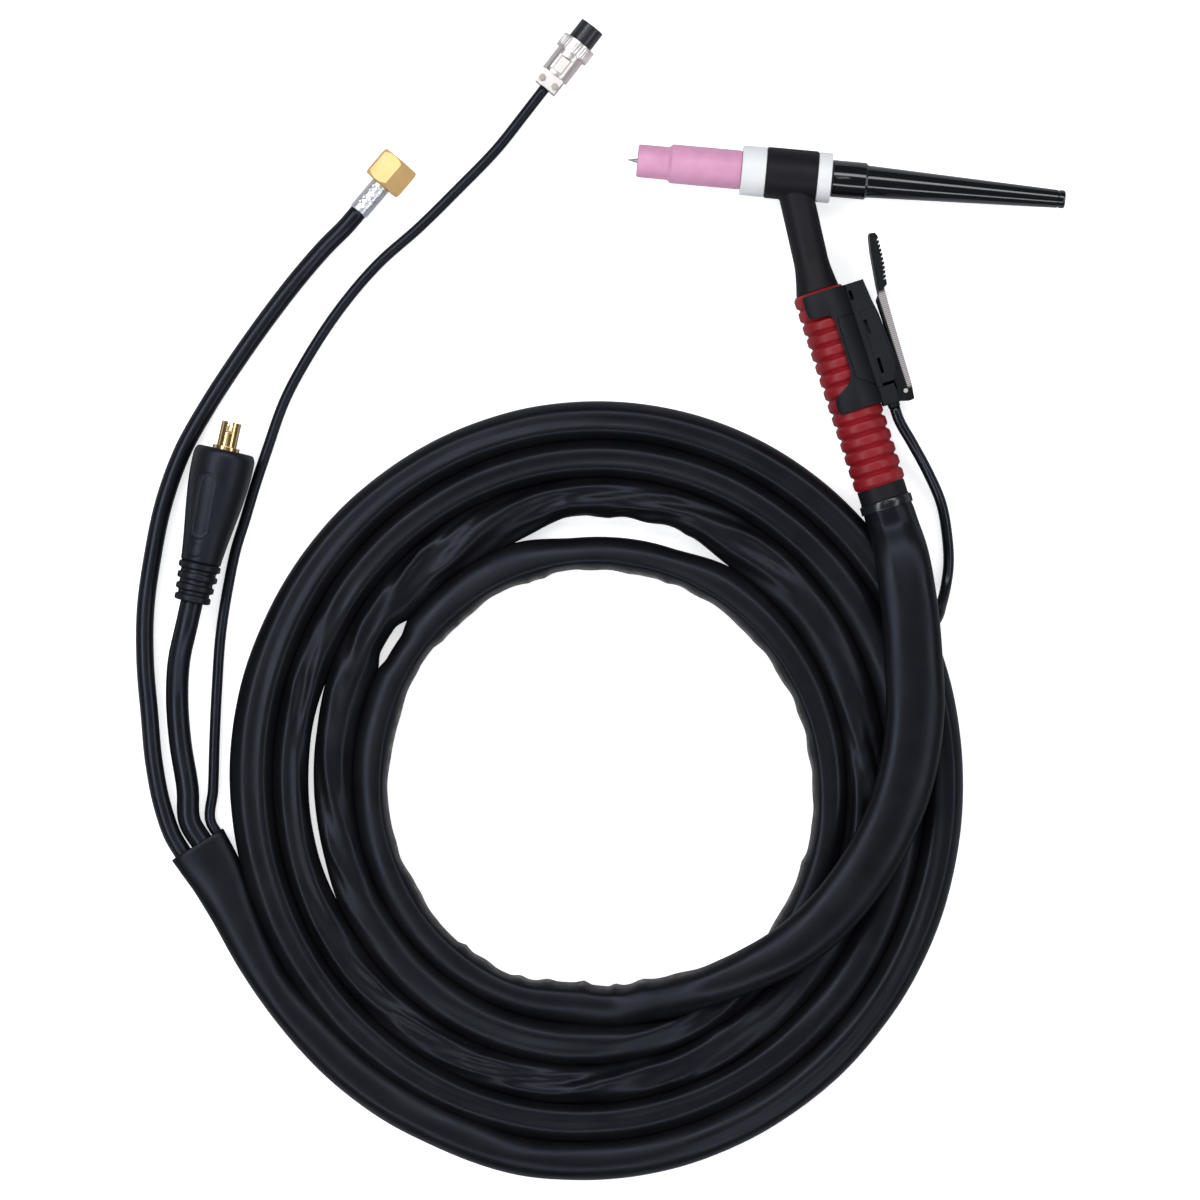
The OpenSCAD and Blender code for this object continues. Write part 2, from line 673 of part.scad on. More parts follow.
// Sheath and leads
run_start = at_handle(boot_end, 0);
run_stops = concat(
  [concat(run_start, [boot_d / 2, boot_d / 2]),
   concat(run_start + 9 * handle_down + [0, 0, 2], [11.6, 9.6])],
  laid(run_points), [concat(coil_at(0) + [lead_in, 0, 0], [sheath_w / 2, sheath_h / 2])]);

module sheath_run() {
  color([0.1, 0.1, 0.11]) octagon_tube(run_stops, handle_down, [-1, 0, 0]);
}

module sheath_coil() {
  color([0.1, 0.1, 0.11])
    swept_tube([for (p = coil_line) concat(p, [sheath_w / 2, sheath_h / 2 / sin(60)])],
      [-1, 0, 0], [-1, 0, 0], 6, 0);
}

tail_stops = concat(
  [for (p = concat([coil_line[coil_last]], laid(tail_points)))
    [p[0], p[1], sheath_h / 2, sheath_w / 2, sheath_h / 2]],
  laid(concat(tail_wide, [[mouth[0], mouth[1], mouth_half_h, mouth_half_w, mouth_half_h]])));

module sheath_tail() {
  color([0.1, 0.1, 0.11]) octagon_tube(tail_stops, [-1, 0, 0], flat(mouth_out));
}

// A lead's first two stops: on the mouth's face, then one diameter straight out
function at_mouth(across, r) = [for (out = [0, 2 * r])
  concat(mouth + lay + across * mouth_side + out * mouth_out, [r])];
function on_table(points, r) = [for (p = laid(points)) [p[0], p[1], r]];
// A lead's last two stops: one diameter before its fitting, then on the fitting's face
function at_fitting(place, z, angle, at, r) = [for (back = [2 * r, 0])
  concat(place + lay, [z]) + (at - back) * heading(angle)];

module lead_tube(points, r, last) {
  octagon_tube([for (p = points) concat(p, [r, r])], flat(mouth_out), last);
}

module gas_hose() {
  r = hose_d / 2;
  color([0.08, 0.08, 0.09]) lead_tube(concat(at_mouth(mouth_hose, r), on_table(hose_points, r),
    laid(hose_rise), at_fitting(nut_at, gas_z, gas_dir, -ferrule_len, r)), r, heading(gas_dir));
}

module power_cable() {
  r = cable_d / 2;
  color([0.08, 0.08, 0.09]) lead_tube(concat(at_mouth(mouth_cable, r), on_table(cable_points, r),
    laid(cable_rise), at_fitting(plug_at, sleeve_d / 2, plug_dir, 0, r)), r, heading(plug_dir));
}

module control_lead() {
  r = lead_d / 2;
  color([0.08, 0.08, 0.09]) lead_tube(concat(at_mouth(mouth_lead, r), on_table(lead_points, r),
    laid(lead_rise), at_fitting(connector_at, connector_z, connector_dir, 0, r)), r,
    heading(connector_dir));
}

module switch_lead() {
  r = lead_d / 2;
  start = at_handle(switch_end + clamp_boss, lead_out_t);
  stops = concat([start, start + lead_d * handle_down], laid(switch_lead_points));
  color([0.08, 0.08, 0.09]) octagon_tube([for (p = stops) concat(p, [r, r])],
    handle_down, [-3, -5, 4]);
}

// Gas fitting
module hose_ferrule() {
  color("silver") along_plug(nut_at, gas_z, gas_dir, -ferrule_len + fit) difference() {
    cylinder(h = ferrule_len - touch - fit, d = ferrule_d);
    translate([0, 0, -cut]) cylinder(h = ferrule_len + 2 * cut, d = nipple_d + 2 * fit);
  }
}

module gas_nipple() {
  color("goldenrod") along_plug(nut_at, gas_z, gas_dir, -ferrule_len + 2 * fit)
    rotate_extrude() polygon([[1.8, 0], [nipple_d / 2, 0], [nipple_d / 2, ferrule_len + nut_wall],
      [nipple_collar_d / 2, ferrule_len + nut_wall],
      [nipple_collar_d / 2, ferrule_len + nipple_seat - 2],
      [3.4, ferrule_len + nipple_seat - 0.2], [1.8, ferrule_len + nipple_seat - 0.2]]);
}

module gas_nut() {
  color("gold") along_plug(nut_at, gas_z, gas_dir, 0) rotate([0, 0, 10]) difference() {
    intersection() {
      cylinder(h = nut_len, r = nut_corner_r, $fn = 6);
      cylinder(h = nut_len + nut_corner_r, r1 = nut_flats / 2 - 0.2, r2 = nut_flats + nut_len);
      translate([0, 0, -nut_corner_r])
        cylinder(h = nut_len + nut_corner_r, r1 = nut_flats + nut_len, r2 = nut_flats / 2 - 0.2);
    }
    translate([0, 0, -cut]) cylinder(h = nut_len, d = nipple_d + 2 * turn_fit);
    translate([0, 0, nut_wall - touch]) cylinder(h = nipple_seat, d = nipple_collar_d + 2 * turn_fit);
    translate([0, 0, nipple_seat]) cylinder(h = nut_len, d = nut_bore_d);
  }
}

// Power plug
module along_power(at) {
  along_plug(plug_at, sleeve_d / 2, plug_dir, at) children();
}

module cable_lug() {
  color("peru") along_power(fit) cylinder(h = barrel_start - 2 * fit, d = barrel_d - 1);
}

module plug_sleeve() {
  top_d = sleeve_d - 4.6;
  waist_d = sleeve_d - 9.2;
  foot_d = sleeve_d - 12;
  color([0.1, 0.1, 0.11]) along_power(0) difference() {
    union() {
      rotate_extrude() polygon([[0, 0], [foot_d / 2 - 0.6, 0], [waist_d / 2 - 0.6, sleeve_waist],
        [sleeve_d / 2, sleeve_wide], [sleeve_d / 2 - 0.4, sleeve_len - 3],
        [top_d / 2, sleeve_len], [0, sleeve_len]]);
      for (i = [0 : 3])
        translate([0, 0, i * sleeve_rib_pitch])
          cylinder(h = 3.2, d1 = foot_d + 0.9 * i, d2 = foot_d + 0.9 * i + 0.6);
    }
    translate([0, 0, -cut]) cylinder(h = 1.5 * cut, d = 2);
    translate([0, 0, fit / 2]) cylinder(h = sleeve_len + cut, d = barrel_d + 2 * fit);
  }
}

module plug_pin() {
  foot_at = sleeve_len - barrel_start + flange_len;
  key_w = 2.8;
  slot_w = 1.6;
  slot_len = 4;
  color("gold") along_power(barrel_start) difference() {
    union() {
      cylinder(h = foot_at, d = barrel_d);
      cylinder(h = foot_at + pin_len, d = pin_d);
      translate([-pin_d / 2 - 0.9, -key_w / 2, foot_at + pin_len - 5]) cube([pin_d / 2, key_w, 3]);
    }
    translate([-pin_d, -slot_w / 2, foot_at + pin_len - slot_len])
      cube([2 * pin_d, slot_w, slot_len + cut]);
  }
}

// Round connector
module along_connector(at) {
  along_plug(connector_at, connector_z, connector_dir, at) children();
}

module connector_clamp() {
  color("silver") along_connector(0) union() {
    for (side = [-clamp_half, clamp_gap])
      translate([side, -clamp_half, 0])
        cube([clamp_half - clamp_gap, 2 * clamp_half, clamp_len - fit]);
    translate([0, 0, clamp_len - clamp_web]) cylinder(h = clamp_web - fit, d = 2 * clamp_half - 1);
  }
}

module connector_screws() {
  color("silver") for (side = [-1, 1])
    along_connector(clamp_len / 2 - 0.6) translate([-clamp_half - fit, side * clamp_screw_x, 0])
      rotate([0, -90, 0]) cylinder(h = 1.1, d = 3.2);
}

module connector_shell() {
  flat_cut = 0.8;
  color("silver") along_connector(clamp_len) difference() {
    union() {
      cylinder(h = shell_len - touch, d = shell_d);
      cylinder(h = shell_len + coupling_len, d = socket_d);
    }
    translate([0, 0, 2])
      cylinder(h = shell_len + coupling_len, d = insert_d - insert_step + 2 * fit);
    translate([0, 0, -cut]) cylinder(h = 4, d = 7);
    for (side = [0, 180])
      rotate([0, 0, side]) translate([shell_d / 2 - flat_cut, -shell_d, 1.6])
        cube([shell_d, 2 * shell_d, shell_len - 4.4]);
  }
}

module connector_ring() {
  knurls = 36;
  color("silver") along_connector(clamp_len + shell_len) difference() {
    cylinder(h = coupling_len, d = coupling_d);
    translate([0, 0, -cut]) cylinder(h = coupling_len + 2 * cut, d = socket_d + 2 * turn_fit);
    for (i = [0 : knurls - 1])
      rotate([0, 0, i * 360 / knurls]) translate([coupling_d / 2 + 0.35, 0, 1])
        cylinder(h = coupling_len - 2, r = 0.65, $fn = 16);
  }
}

module contact_places() {
  for (i = [0 : 3]) rotate([0, 0, 45 + 90 * i]) translate([contact_ring_d / 2, 0, 0]) children();
}

module connector_insert() {
  color("black") along_connector(insert_at) difference() {
    union() {
      cylinder(h = insert_len, d = insert_d - insert_step);
      translate([0, 0, insert_len - insert_out]) cylinder(h = insert_out, d = insert_d);
    }
    contact_places() translate([0, 0, insert_len - contact_depth])
      cylinder(h = contact_depth + cut, d = contact_d + 2 * fit);
    translate([insert_d / 2 - 0.7, -1, insert_len - 7]) cube([2, 2, 8]);
  }
}

module connector_contacts() {
  color("gold") along_connector(insert_at + insert_len - contact_depth + fit)
    contact_places() pipe(contact_depth - 1, contact_d, 1.1);
}

tungsten_electrode();
ceramic_nozzle();
front_ring();
collet_body();
collet();
head_core();
head_cover();
rear_ring();
cap_seal();
back_cap();
neck_tube();
handle();
power_adaptor();
inner_conductor();
inner_hose();
end_boot();
sheath_tie();
switch_clip();
switch_housing();
switch_cover();
micro_switch();
switch_plunger();
lead_clamp();
lever_pin();
switch_lever();
sheath_run();
sheath_coil();
sheath_tail();
gas_hose();
hose_ferrule();
gas_nipple();
gas_nut();
power_cable();
cable_lug();
plug_sleeve();
plug_pin();
control_lead();
connector_clamp();
connector_screws();
connector_shell();
connector_ring();
connector_insert();
connector_contacts();
switch_lead();
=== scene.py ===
import math

import bmesh
import bpy
from mathutils import Matrix, Vector, noise


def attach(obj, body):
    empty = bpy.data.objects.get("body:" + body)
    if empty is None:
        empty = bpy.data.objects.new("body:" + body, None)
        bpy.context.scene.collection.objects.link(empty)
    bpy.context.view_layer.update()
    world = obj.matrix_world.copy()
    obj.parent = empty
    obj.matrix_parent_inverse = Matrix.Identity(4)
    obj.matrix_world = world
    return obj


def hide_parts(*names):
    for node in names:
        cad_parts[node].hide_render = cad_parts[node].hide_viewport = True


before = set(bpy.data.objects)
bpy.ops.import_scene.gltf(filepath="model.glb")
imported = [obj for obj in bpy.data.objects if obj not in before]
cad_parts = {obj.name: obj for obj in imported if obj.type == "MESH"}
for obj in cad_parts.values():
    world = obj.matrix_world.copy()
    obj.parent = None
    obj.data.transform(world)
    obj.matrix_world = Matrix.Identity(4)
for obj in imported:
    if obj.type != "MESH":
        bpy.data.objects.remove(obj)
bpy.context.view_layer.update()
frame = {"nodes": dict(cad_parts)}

print("frame loaded:", len(frame["nodes"]), "CAD nodes")

# Where the torch's parts are, in metres and degrees
places = {
    "head": {"at": (-0.02545, 0.071229, 0.01395), "turn": 0.0},
    "neck": {"at": (-0.02545, 0.071229, 0.01395), "turn": -72.0},
    "handle": {"at": (-0.008454, 0.018921, 0.01395), "turn": -67.0},
    "plug": {"at": (-0.2823, -0.1496, 0.0143), "turn": 82.6},
    "gas": {"at": (-0.2131, 0.0497, 0.010592), "turn": 54.8},
    "connector": {"at": (-0.1422, 0.101, 0.0085), "turn": 57.4},
}


def placeOf(name):
    place = places[name]
    return Matrix.Translation(place["at"]) @ Matrix.Rotation(math.radians(place["turn"]), 4, "Z")


def pointOf(name, along, across=0.0, up=0.0):
    return placeOf(name) @ Vector((along, across, up))


def wayOf(name):
    turn = math.radians(places[name]["turn"])
    return Vector((math.cos(turn), math.sin(turn), 0))


# Camera, straight over the torch as it lies on the table
view = {"over": (-0.0954, -0.1316), "height": 2.5, "turn": 5.2, "width": 0.552, "sensor": 36.0}


def addObject(name, data):
    piece = bpy.data.objects.new(name, data)
    bpy.context.scene.collection.objects.link(piece)
    return piece


def makeCamera():
    camera = bpy.data.cameras.new("camera")
    camera.sensor_width = view["sensor"]
    camera.lens = view["sensor"] * view["height"] / view["width"]
    camera.clip_end = 20
    holder = addObject("camera", camera)
    holder.location = (*view["over"], view["height"] + places["head"]["at"][2])
    holder.rotation_euler = (0, 0, math.radians(view["turn"]))
    bpy.context.scene.camera = holder


makeCamera()
print("camera set")


# Mesh helpers
def deselectAll():
    if bpy.context.object and bpy.context.object.mode != "OBJECT":
        bpy.ops.object.mode_set(mode="OBJECT")
    bpy.ops.object.select_all(action="DESELECT")


def makeActive(piece):
    deselectAll()
    piece.select_set(True)
    bpy.context.view_layer.objects.active = piece


def startEditing(piece):
    makeActive(piece)
    bpy.ops.object.mode_set(mode="EDIT")
    bpy.ops.mesh.select_all(action="SELECT")


def applyModifiers(piece):
    makeActive(piece)
    for modifier in list(piece.modifiers):
        bpy.ops.object.modifier_apply(modifier=modifier.name)


def smoothShade(piece, degrees=32):
    makeActive(piece)
    bpy.ops.object.shade_smooth_by_angle(angle=math.radians(degrees))


def bevelEdges(piece, width, segments=2, degrees=28):
    bevel = piece.modifiers.new("bevel", "BEVEL")
    bevel.width = width
    bevel.segments = segments
    bevel.limit_method = "ANGLE"
    bevel.angle_limit = math.radians(degrees)
    bevel.use_clamp_overlap = True
    applyModifiers(piece)


def evenShade(piece):  # flats keep their own normals beside rounded edges
    smoothShade(piece, 35)
    weighted = piece.modifiers.new("weighted", "WEIGHTED_NORMAL")
    weighted.keep_sharp = True
    applyModifiers(piece)
    return piece


def cutWith(piece, cutter, operation="DIFFERENCE"):
    boolean = piece.modifiers.new("cut", "BOOLEAN")
    boolean.operation = operation
    boolean.solver = "EXACT"
    boolean.object = cutter
    applyModifiers(piece)
    bpy.data.objects.remove(cutter)


def drawOutline(name, outline):
    deselectAll()
    bpy.ops.mesh.primitive_plane_add(size=0.01, location=(0, 0, 0))
    piece = bpy.context.object
    piece.name = name
    startEditing(piece)
    bpy.ops.mesh.merge(type="CENTER")
    bpy.ops.transform.translate(value=Vector(outline[0]))
    for here, there in zip(outline, outline[1:]):
        step = Vector(there) - Vector(here)
        bpy.ops.mesh.extrude_vertices_move(TRANSFORM_OT_translate={"value": step})
    return piece


def closeMesh(piece):
    bpy.ops.mesh.select_all(action="SELECT")
    bpy.ops.mesh.remove_doubles(threshold=1e-6)
    bpy.ops.mesh.normals_make_consistent(inside=False)
    bpy.ops.object.mode_set(mode="OBJECT")
    return piece


def turnedPiece(name, outline, place, steps=112):  # outline: distance along the axis, radius
    piece = drawOutline(name, [(along, 0, radius) for along, radius in outline])
    bpy.ops.mesh.select_all(action="SELECT")
    bpy.ops.mesh.spin(steps=steps, angle=2 * math.pi, center=(0, 0, 0), axis=(1, 0, 0))
    closeMesh(piece)
    piece.data.transform(placeOf(place))
    return piece


def cutPiece(name, outline, low, high, place):  # a flat outline raised from low to high
    piece = drawOutline(name, [(along, across, low) for along, across in outline])
    bpy.ops.mesh.select_all(action="SELECT")
    bpy.ops.mesh.edge_face_add()
    bpy.ops.mesh.extrude_region_move(TRANSFORM_OT_translate={"value": (0, 0, high - low)})
    closeMesh(piece)
    piece.data.transform(placeOf(place))
    return piece


def bandOutline(start, end, inner, outer):
    return [(start, inner), (start, outer), (end, outer), (end, inner), (start, inner)]


def roundedCopy(name, node, width):
    piece = addObject(name, frame["nodes"][node].data.copy())
    startEditing(piece)
    bpy.ops.mesh.customdata_custom_splitnormals_clear()
    bpy.ops.mesh.remove_doubles(threshold=2e-6)
    bpy.ops.mesh.dissolve_limited(angle_limit=math.radians(1))
    closeMesh(piece)
    bevelEdges(piece, width, degrees=30)
    return evenShade(piece)


def finishPiece(piece, body, finish, nodes=()):
    piece.data.materials.clear()
    piece.data.materials.append(materials[finish])
    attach(piece, body)
    if nodes:
        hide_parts(*nodes)
    return piece


def moveRadially(piece, place, change):  # change(along, angle, radius) gives the new radius
    forward = placeOf(place)
    inverse = forward.inverted()
    for vertex in piece.data.vertices:
        local = inverse @ vertex.co
        radius = math.hypot(local.y, local.z)
        if radius < 1e-5:
            continue
        scale = change(local.x, math.atan2(local.y, local.z), radius) / radius
        local.y *= scale
        local.z *= scale
        vertex.co = forward @ local


def smoothStep(low, high, value):
    share = min(1.0, max(0.0, (value - low) / (high - low)))
    return share * share * (3 - 2 * share)


# Node helpers and the effects that several finishes share
def fillInputs(tree, inputs, values):
    for key, value in dict(values).items():
        if isinstance(value, bpy.types.NodeSocket):
            tree.links.new(value, inputs[key])
        else:
            inputs[key].default_value = value


def addNode(tree, kind, settings=(), values=()):
    node = tree.nodes.new("ShaderNode" + kind)
    for key, value in dict(settings).items():
        setattr(node, key, value)
    fillInputs(tree, node.inputs, values)
    return node


def addMath(tree, operation, *values, clamp=False):
    settings = {"operation": operation, "use_clamp": clamp}
    return addNode(tree, "Math", settings, enumerate(values)).outputs[0]


def addRange(tree, value, low, high, to=(0.0, 1.0), kind="LINEAR"):
    node = addNode(tree, "MapRange", {"interpolation_type": kind}, {
        "Value": value, "From Min": low, "From Max": high, "To Min": to[0], "To Max": to[1]})
    return node.outputs["Result"]


def addNoise(tree, vector, scale, detail, **values):
    node = addNode(tree, "TexNoise", {}, {
        "Vector": vector, "Scale": scale, "Detail": detail, **values})
    return node.outputs["Fac"]


def mixColors(tree, share, below, above):
    mix = addNode(tree, "Mix", {"data_type": "RGBA"}, {"Factor": share, 6: below, 7: above})
    return mix.outputs[2]


def startGroup(name, colors, floats, output):  # every group also takes a vector
    group = bpy.data.node_groups.new(name, "ShaderNodeTree")
    kinds = [("Vector", "Vector")] + [(label, "Color") for label in colors]
    kinds += [(label, "Float") for label in floats]
    for label, kind in kinds:
        group.interface.new_socket(name=label, in_out="INPUT", socket_type="NodeSocket" + kind)
    kind = "NodeSocketColor" if colors else "NodeSocketFloat"
    group.interface.new_socket(name=output, in_out="OUTPUT", socket_type=kind)
    return group, group.nodes.new("NodeGroupInput").outputs


def endGroup(group, result):
    group.links.new(result, group.nodes.new("NodeGroupOutput").inputs[0])
    return group


def makeTintPatches():
    group, given = startGroup("tintPatches", ["Base", "Shade"], ["Scale", "Amount"], "Color")
    cloud = addRange(group, addNoise(group, given["Vector"], given["Scale"], 4.0), 0.35, 0.7)
    share = addMath(group, "MULTIPLY", cloud, given["Amount"])
    return endGroup(group, mixColors(group, share, given["Base"], given["Shade"]))


def makeRoughPatches():
    group, given = startGroup("roughPatches", [], ["Scale", "Low", "High"], "Roughness")
    cloud = addNoise(group, given["Vector"], given["Scale"], 5.0, Roughness=0.6)
    return endGroup(group, addRange(group, cloud, 0.3, 0.7, (given["Low"], given["High"])))


def makeSurfaceGrain():
    group, given = startGroup("surfaceGrain", [], ["Scale", "Cells"], "Height")
    fine = addNoise(group, given["Vector"], given["Scale"], 3.0)
    cells = addNode(group, "TexVoronoi", {"feature": "SMOOTH_F1"}, {
        "Vector": given["Vector"], "Scale": given["Scale"]})
    mix = addNode(group, "Mix", {"data_type": "FLOAT"}, {
        "Factor": given["Cells"], "A": fine, "B": cells.outputs["Distance"]})
    return endGroup(group, mix.outputs["Result"])


def makeTurnedLines():
    group, given = startGroup("turnedLines", [], ["Scale"], "Height")
    parts = addNode(group, "SeparateXYZ", {}, {"Vector": given["Vector"]})
    along = addNode(group, "CombineXYZ", {}, {"X": parts.outputs["X"]})
    return endGroup(group, addNoise(group, along.outputs["Vector"], given["Scale"], 2.0))


def makeCreases():
    group, given = startGroup("creases", [], ["Scale", "Sharp"], "Height")
    cloud = addNoise(group, given["Vector"], given["Scale"], 2.0, Distortion=0.6)
    fold = addMath(group, "ABSOLUTE", addMath(group, "SUBTRACT", cloud, 0.5))
    wide = addMath(group, "MULTIPLY", fold, given["Sharp"], clamp=True)
    return endGroup(group, addMath(group, "SUBTRACT", 1.0, wide))


effects = {
    "tint": makeTintPatches(), "rough": makeRoughPatches(), "grain": makeSurfaceGrain(),
    "lines": makeTurnedLines(), "creases": makeCreases(),
}


def useEffect(tree, effect, values):
    return addNode(tree, "Group", {"node_tree": effects[effect]}, values).outputs[0]


def addBump(tree, height, strength, distance, below=None):
    values = {"Height": height, "Strength": strength, "Distance": distance}
    if below is not None:
        values["Normal"] = below
    return addNode(tree, "Bump", {}, values).outputs["Normal"]


def vectorAt(tree, name=None):  # object coordinates, turned to a place when one is named
    vector = addNode(tree, "TexCoord").outputs["Object"]
    if name is None:
        return vector
    place = places[name]
    turned = addNode(tree, "Mapping", {"vector_type": "TEXTURE"}, {
        "Vector": vector, "Location": place["at"],
        "Rotation": (0, 0, math.radians(place["turn"]))})
    return turned.outputs["Vector"]


def startMaterial(name):
    material = bpy.data.materials.new(name)
    material.use_nodes = True
    tree = material.node_tree
    return material, tree, tree.nodes["Principled BSDF"].inputs


def opaque(color):
    return (*color, 1.0)


def makeFinish(name, finish):
    material, tree, shader = startMaterial(name)
    vector = vectorAt(tree, finish.get("place"))
    color = useEffect(tree, "tint", {
        "Vector": vector, "Base": opaque(finish["color"]), "Shade": opaque(finish["shade"]),
        "Scale": finish.get("patch", 60.0), "Amount": 0.8})
    low, high = finish["rough"]
    rough = useEffect(tree, "rough", {"Vector": vector, "Scale": 90.0, "Low": low, "High": high})
    fillInputs(tree, shader, {
        "Base Color": color, "Roughness": rough, "Metallic": finish.get("metal", 0.0),
        "Specular IOR Level": finish.get("gloss", 0.5),
        "Specular Tint": opaque(finish.get("sheen", (1.0, 1.0, 1.0))),
        "Coat Weight": finish.get("coat", 0.0), "Coat Roughness": 0.05})
    normal = None
    if "grain" in finish:
        scale, cells, strength, distance = finish["grain"]
        height = useEffect(tree, "grain", {"Vector": vector, "Scale": scale, "Cells": cells})
        normal = addBump(tree, height, strength, distance)
    if "lines" in finish:
        scale, strength, distance = finish["lines"]
        height = useEffect(tree, "lines", {"Vector": vector, "Scale": scale})
        normal = addBump(tree, height, strength, distance, normal)
    if normal is not None:
        tree.links.new(normal, shader["Normal"])
    return material


finishes = {
    "pinkCeramic": {"color": (0.74, 0.35, 0.53), "shade": (0.66, 0.29, 0.46), "rough": (0.42, 0.55),
                    "patch": 120.0, "grain": (2200.0, 0.2, 0.25, 0.00006)},
    "whiteRing": {"color": (0.86, 0.86, 0.86), "shade": (0.81, 0.81, 0.815), "rough": (0.35, 0.5),
                  "grain": (1500.0, 0.1, 0.1, 0.00004)},
    "neckRubber": {"color": (0.0088, 0.0084, 0.0108), "shade": (0.0066, 0.0063, 0.0082),
                   "rough": (0.46, 0.58), "gloss": 0.19, "grain": (1600.0, 0.4, 0.35, 0.00008)},
    "capGloss": {"color": (0.003, 0.003, 0.004), "shade": (0.005, 0.005, 0.006),
                 "rough": (0.10, 0.16), "coat": 0.5, "grain": (500.0, 0.0, 0.04, 0.00005)},
    "handleRed": {"color": (0.27, 0.008, 0.013), "shade": (0.20, 0.005, 0.009),
                  "rough": (0.36, 0.48), "gloss": 0.35, "patch": 90.0,
                  "grain": (1300.0, 0.3, 0.2, 0.00006)},
    "switchPlastic": {"color": (0.0115, 0.0124, 0.0158), "shade": (0.0084, 0.0092, 0.0118),
                      "rough": (0.42, 0.54), "gloss": 0.16, "grain": (1800.0, 0.5, 0.3, 0.00006)},
    "leverPlastic": {"color": (0.0060, 0.0062, 0.0075), "shade": (0.0045, 0.0045, 0.0055),
                     "rough": (0.28, 0.40), "gloss": 0.2, "grain": (1800.0, 0.4, 0.15, 0.00005)},
    "tieGloss": {"color": (0.010, 0.010, 0.012), "shade": (0.016, 0.016, 0.018),
                 "rough": (0.14, 0.24), "grain": (700.0, 0.1, 0.1, 0.00006)},
    "cableRubber": {"color": (0.0045, 0.0045, 0.0060), "shade": (0.0070, 0.0070, 0.0090),
                    "rough": (0.28, 0.38), "patch": 45.0, "gloss": 0.36, "sheen": (0.72, 0.80, 1.0),
                    "grain": (1400.0, 0.2, 0.16, 0.00006)},
    "leadGloss": {"color": (0.0045, 0.0045, 0.0060), "shade": (0.0070, 0.0070, 0.0090),
                  "rough": (0.18, 0.28), "gloss": 0.42, "sheen": (0.78, 0.85, 1.0), "patch": 45.0,
                  "grain": (900.0, 0.1, 0.1, 0.00006)},
    "plugRubber": {"color": (0.0070, 0.0072, 0.0092), "shade": (0.0050, 0.0050, 0.0065),
                   "rough": (0.38, 0.48), "gloss": 0.34, "sheen": (0.72, 0.80, 1.0),
                   "grain": (1500.0, 0.4, 0.3, 0.00008)},
    "nutBrass": {"color": (0.96, 0.63, 0.28), "shade": (0.92, 0.55, 0.20), "rough": (0.38, 0.48),
                 "metal": 0.62, "patch": 150.0, "place": "gas", "lines": (2600.0, 0.12, 0.00003)},
    "pinBrass": {"color": (0.90, 0.62, 0.27), "shade": (0.80, 0.50, 0.20), "rough": (0.16, 0.30),
                 "metal": 1.0, "patch": 150.0, "place": "plug", "lines": (2600.0, 0.12, 0.00003)},
    "innerBrass": {"color": (0.84, 0.60, 0.28), "shade": (0.66, 0.42, 0.18), "rough": (0.25, 0.42),
                   "metal": 1.0, "place": "head", "lines": (2600.0, 0.15, 0.00003)},
    "innerCopper": {"color": (0.78, 0.42, 0.28), "shade": (0.62, 0.30, 0.18),
                    "rough": (0.25, 0.42), "metal": 1.0, "grain": (1400.0, 0.1, 0.15, 0.00004)},
    "tungstenGrey": {"color": (0.30, 0.30, 0.31), "shade": (0.20, 0.20, 0.21),
                     "rough": (0.30, 0.45), "metal": 1.0, "place": "head",
                     "lines": (5200.0, 0.3, 0.00003)},
    "nickelPlate": {"color": (0.90, 0.86, 0.83), "shade": (0.80, 0.74, 0.70),
                    "rough": (0.30, 0.42), "metal": 1.0, "patch": 140.0, "place": "connector",
                    "lines": (3000.0, 0.1, 0.00003)},
    "screwSteel": {"color": (0.52, 0.47, 0.43), "shade": (0.40, 0.36, 0.33),
                   "rough": (0.28, 0.40), "metal": 1.0, "patch": 140.0, "place": "connector",
                   "lines": (3000.0, 0.1, 0.00003)},
    "crimpSteel": {"color": (0.92, 0.93, 0.95), "shade": (0.82, 0.83, 0.87),
                   "rough": (0.34, 0.46), "metal": 1.0, "patch": 170.0, "place": "gas",
                   "lines": (2600.0, 0.1, 0.00003)},
    "insertBlack": {"color": (0.016, 0.015, 0.022), "shade": (0.024, 0.022, 0.032),
                    "rough": (0.22, 0.34), "grain": (1400.0, 0.2, 0.1, 0.00005)},
    "buttonRed": {"color": (0.50, 0.03, 0.03), "shade": (0.40, 0.02, 0.02), "rough": (0.3, 0.4),
                  "grain": (1500.0, 0.2, 0.1, 0.00005)},
    "switchGrey": {"color": (0.004, 0.004, 0.005), "shade": (0.003, 0.003, 0.004), "rough": (0.4, 0.5),
                   "gloss": 0.05, "grain": (1500.0, 0.3, 0.2, 0.00005)},
}
materials = {name: makeFinish(name, finish) for name, finish in finishes.items()}


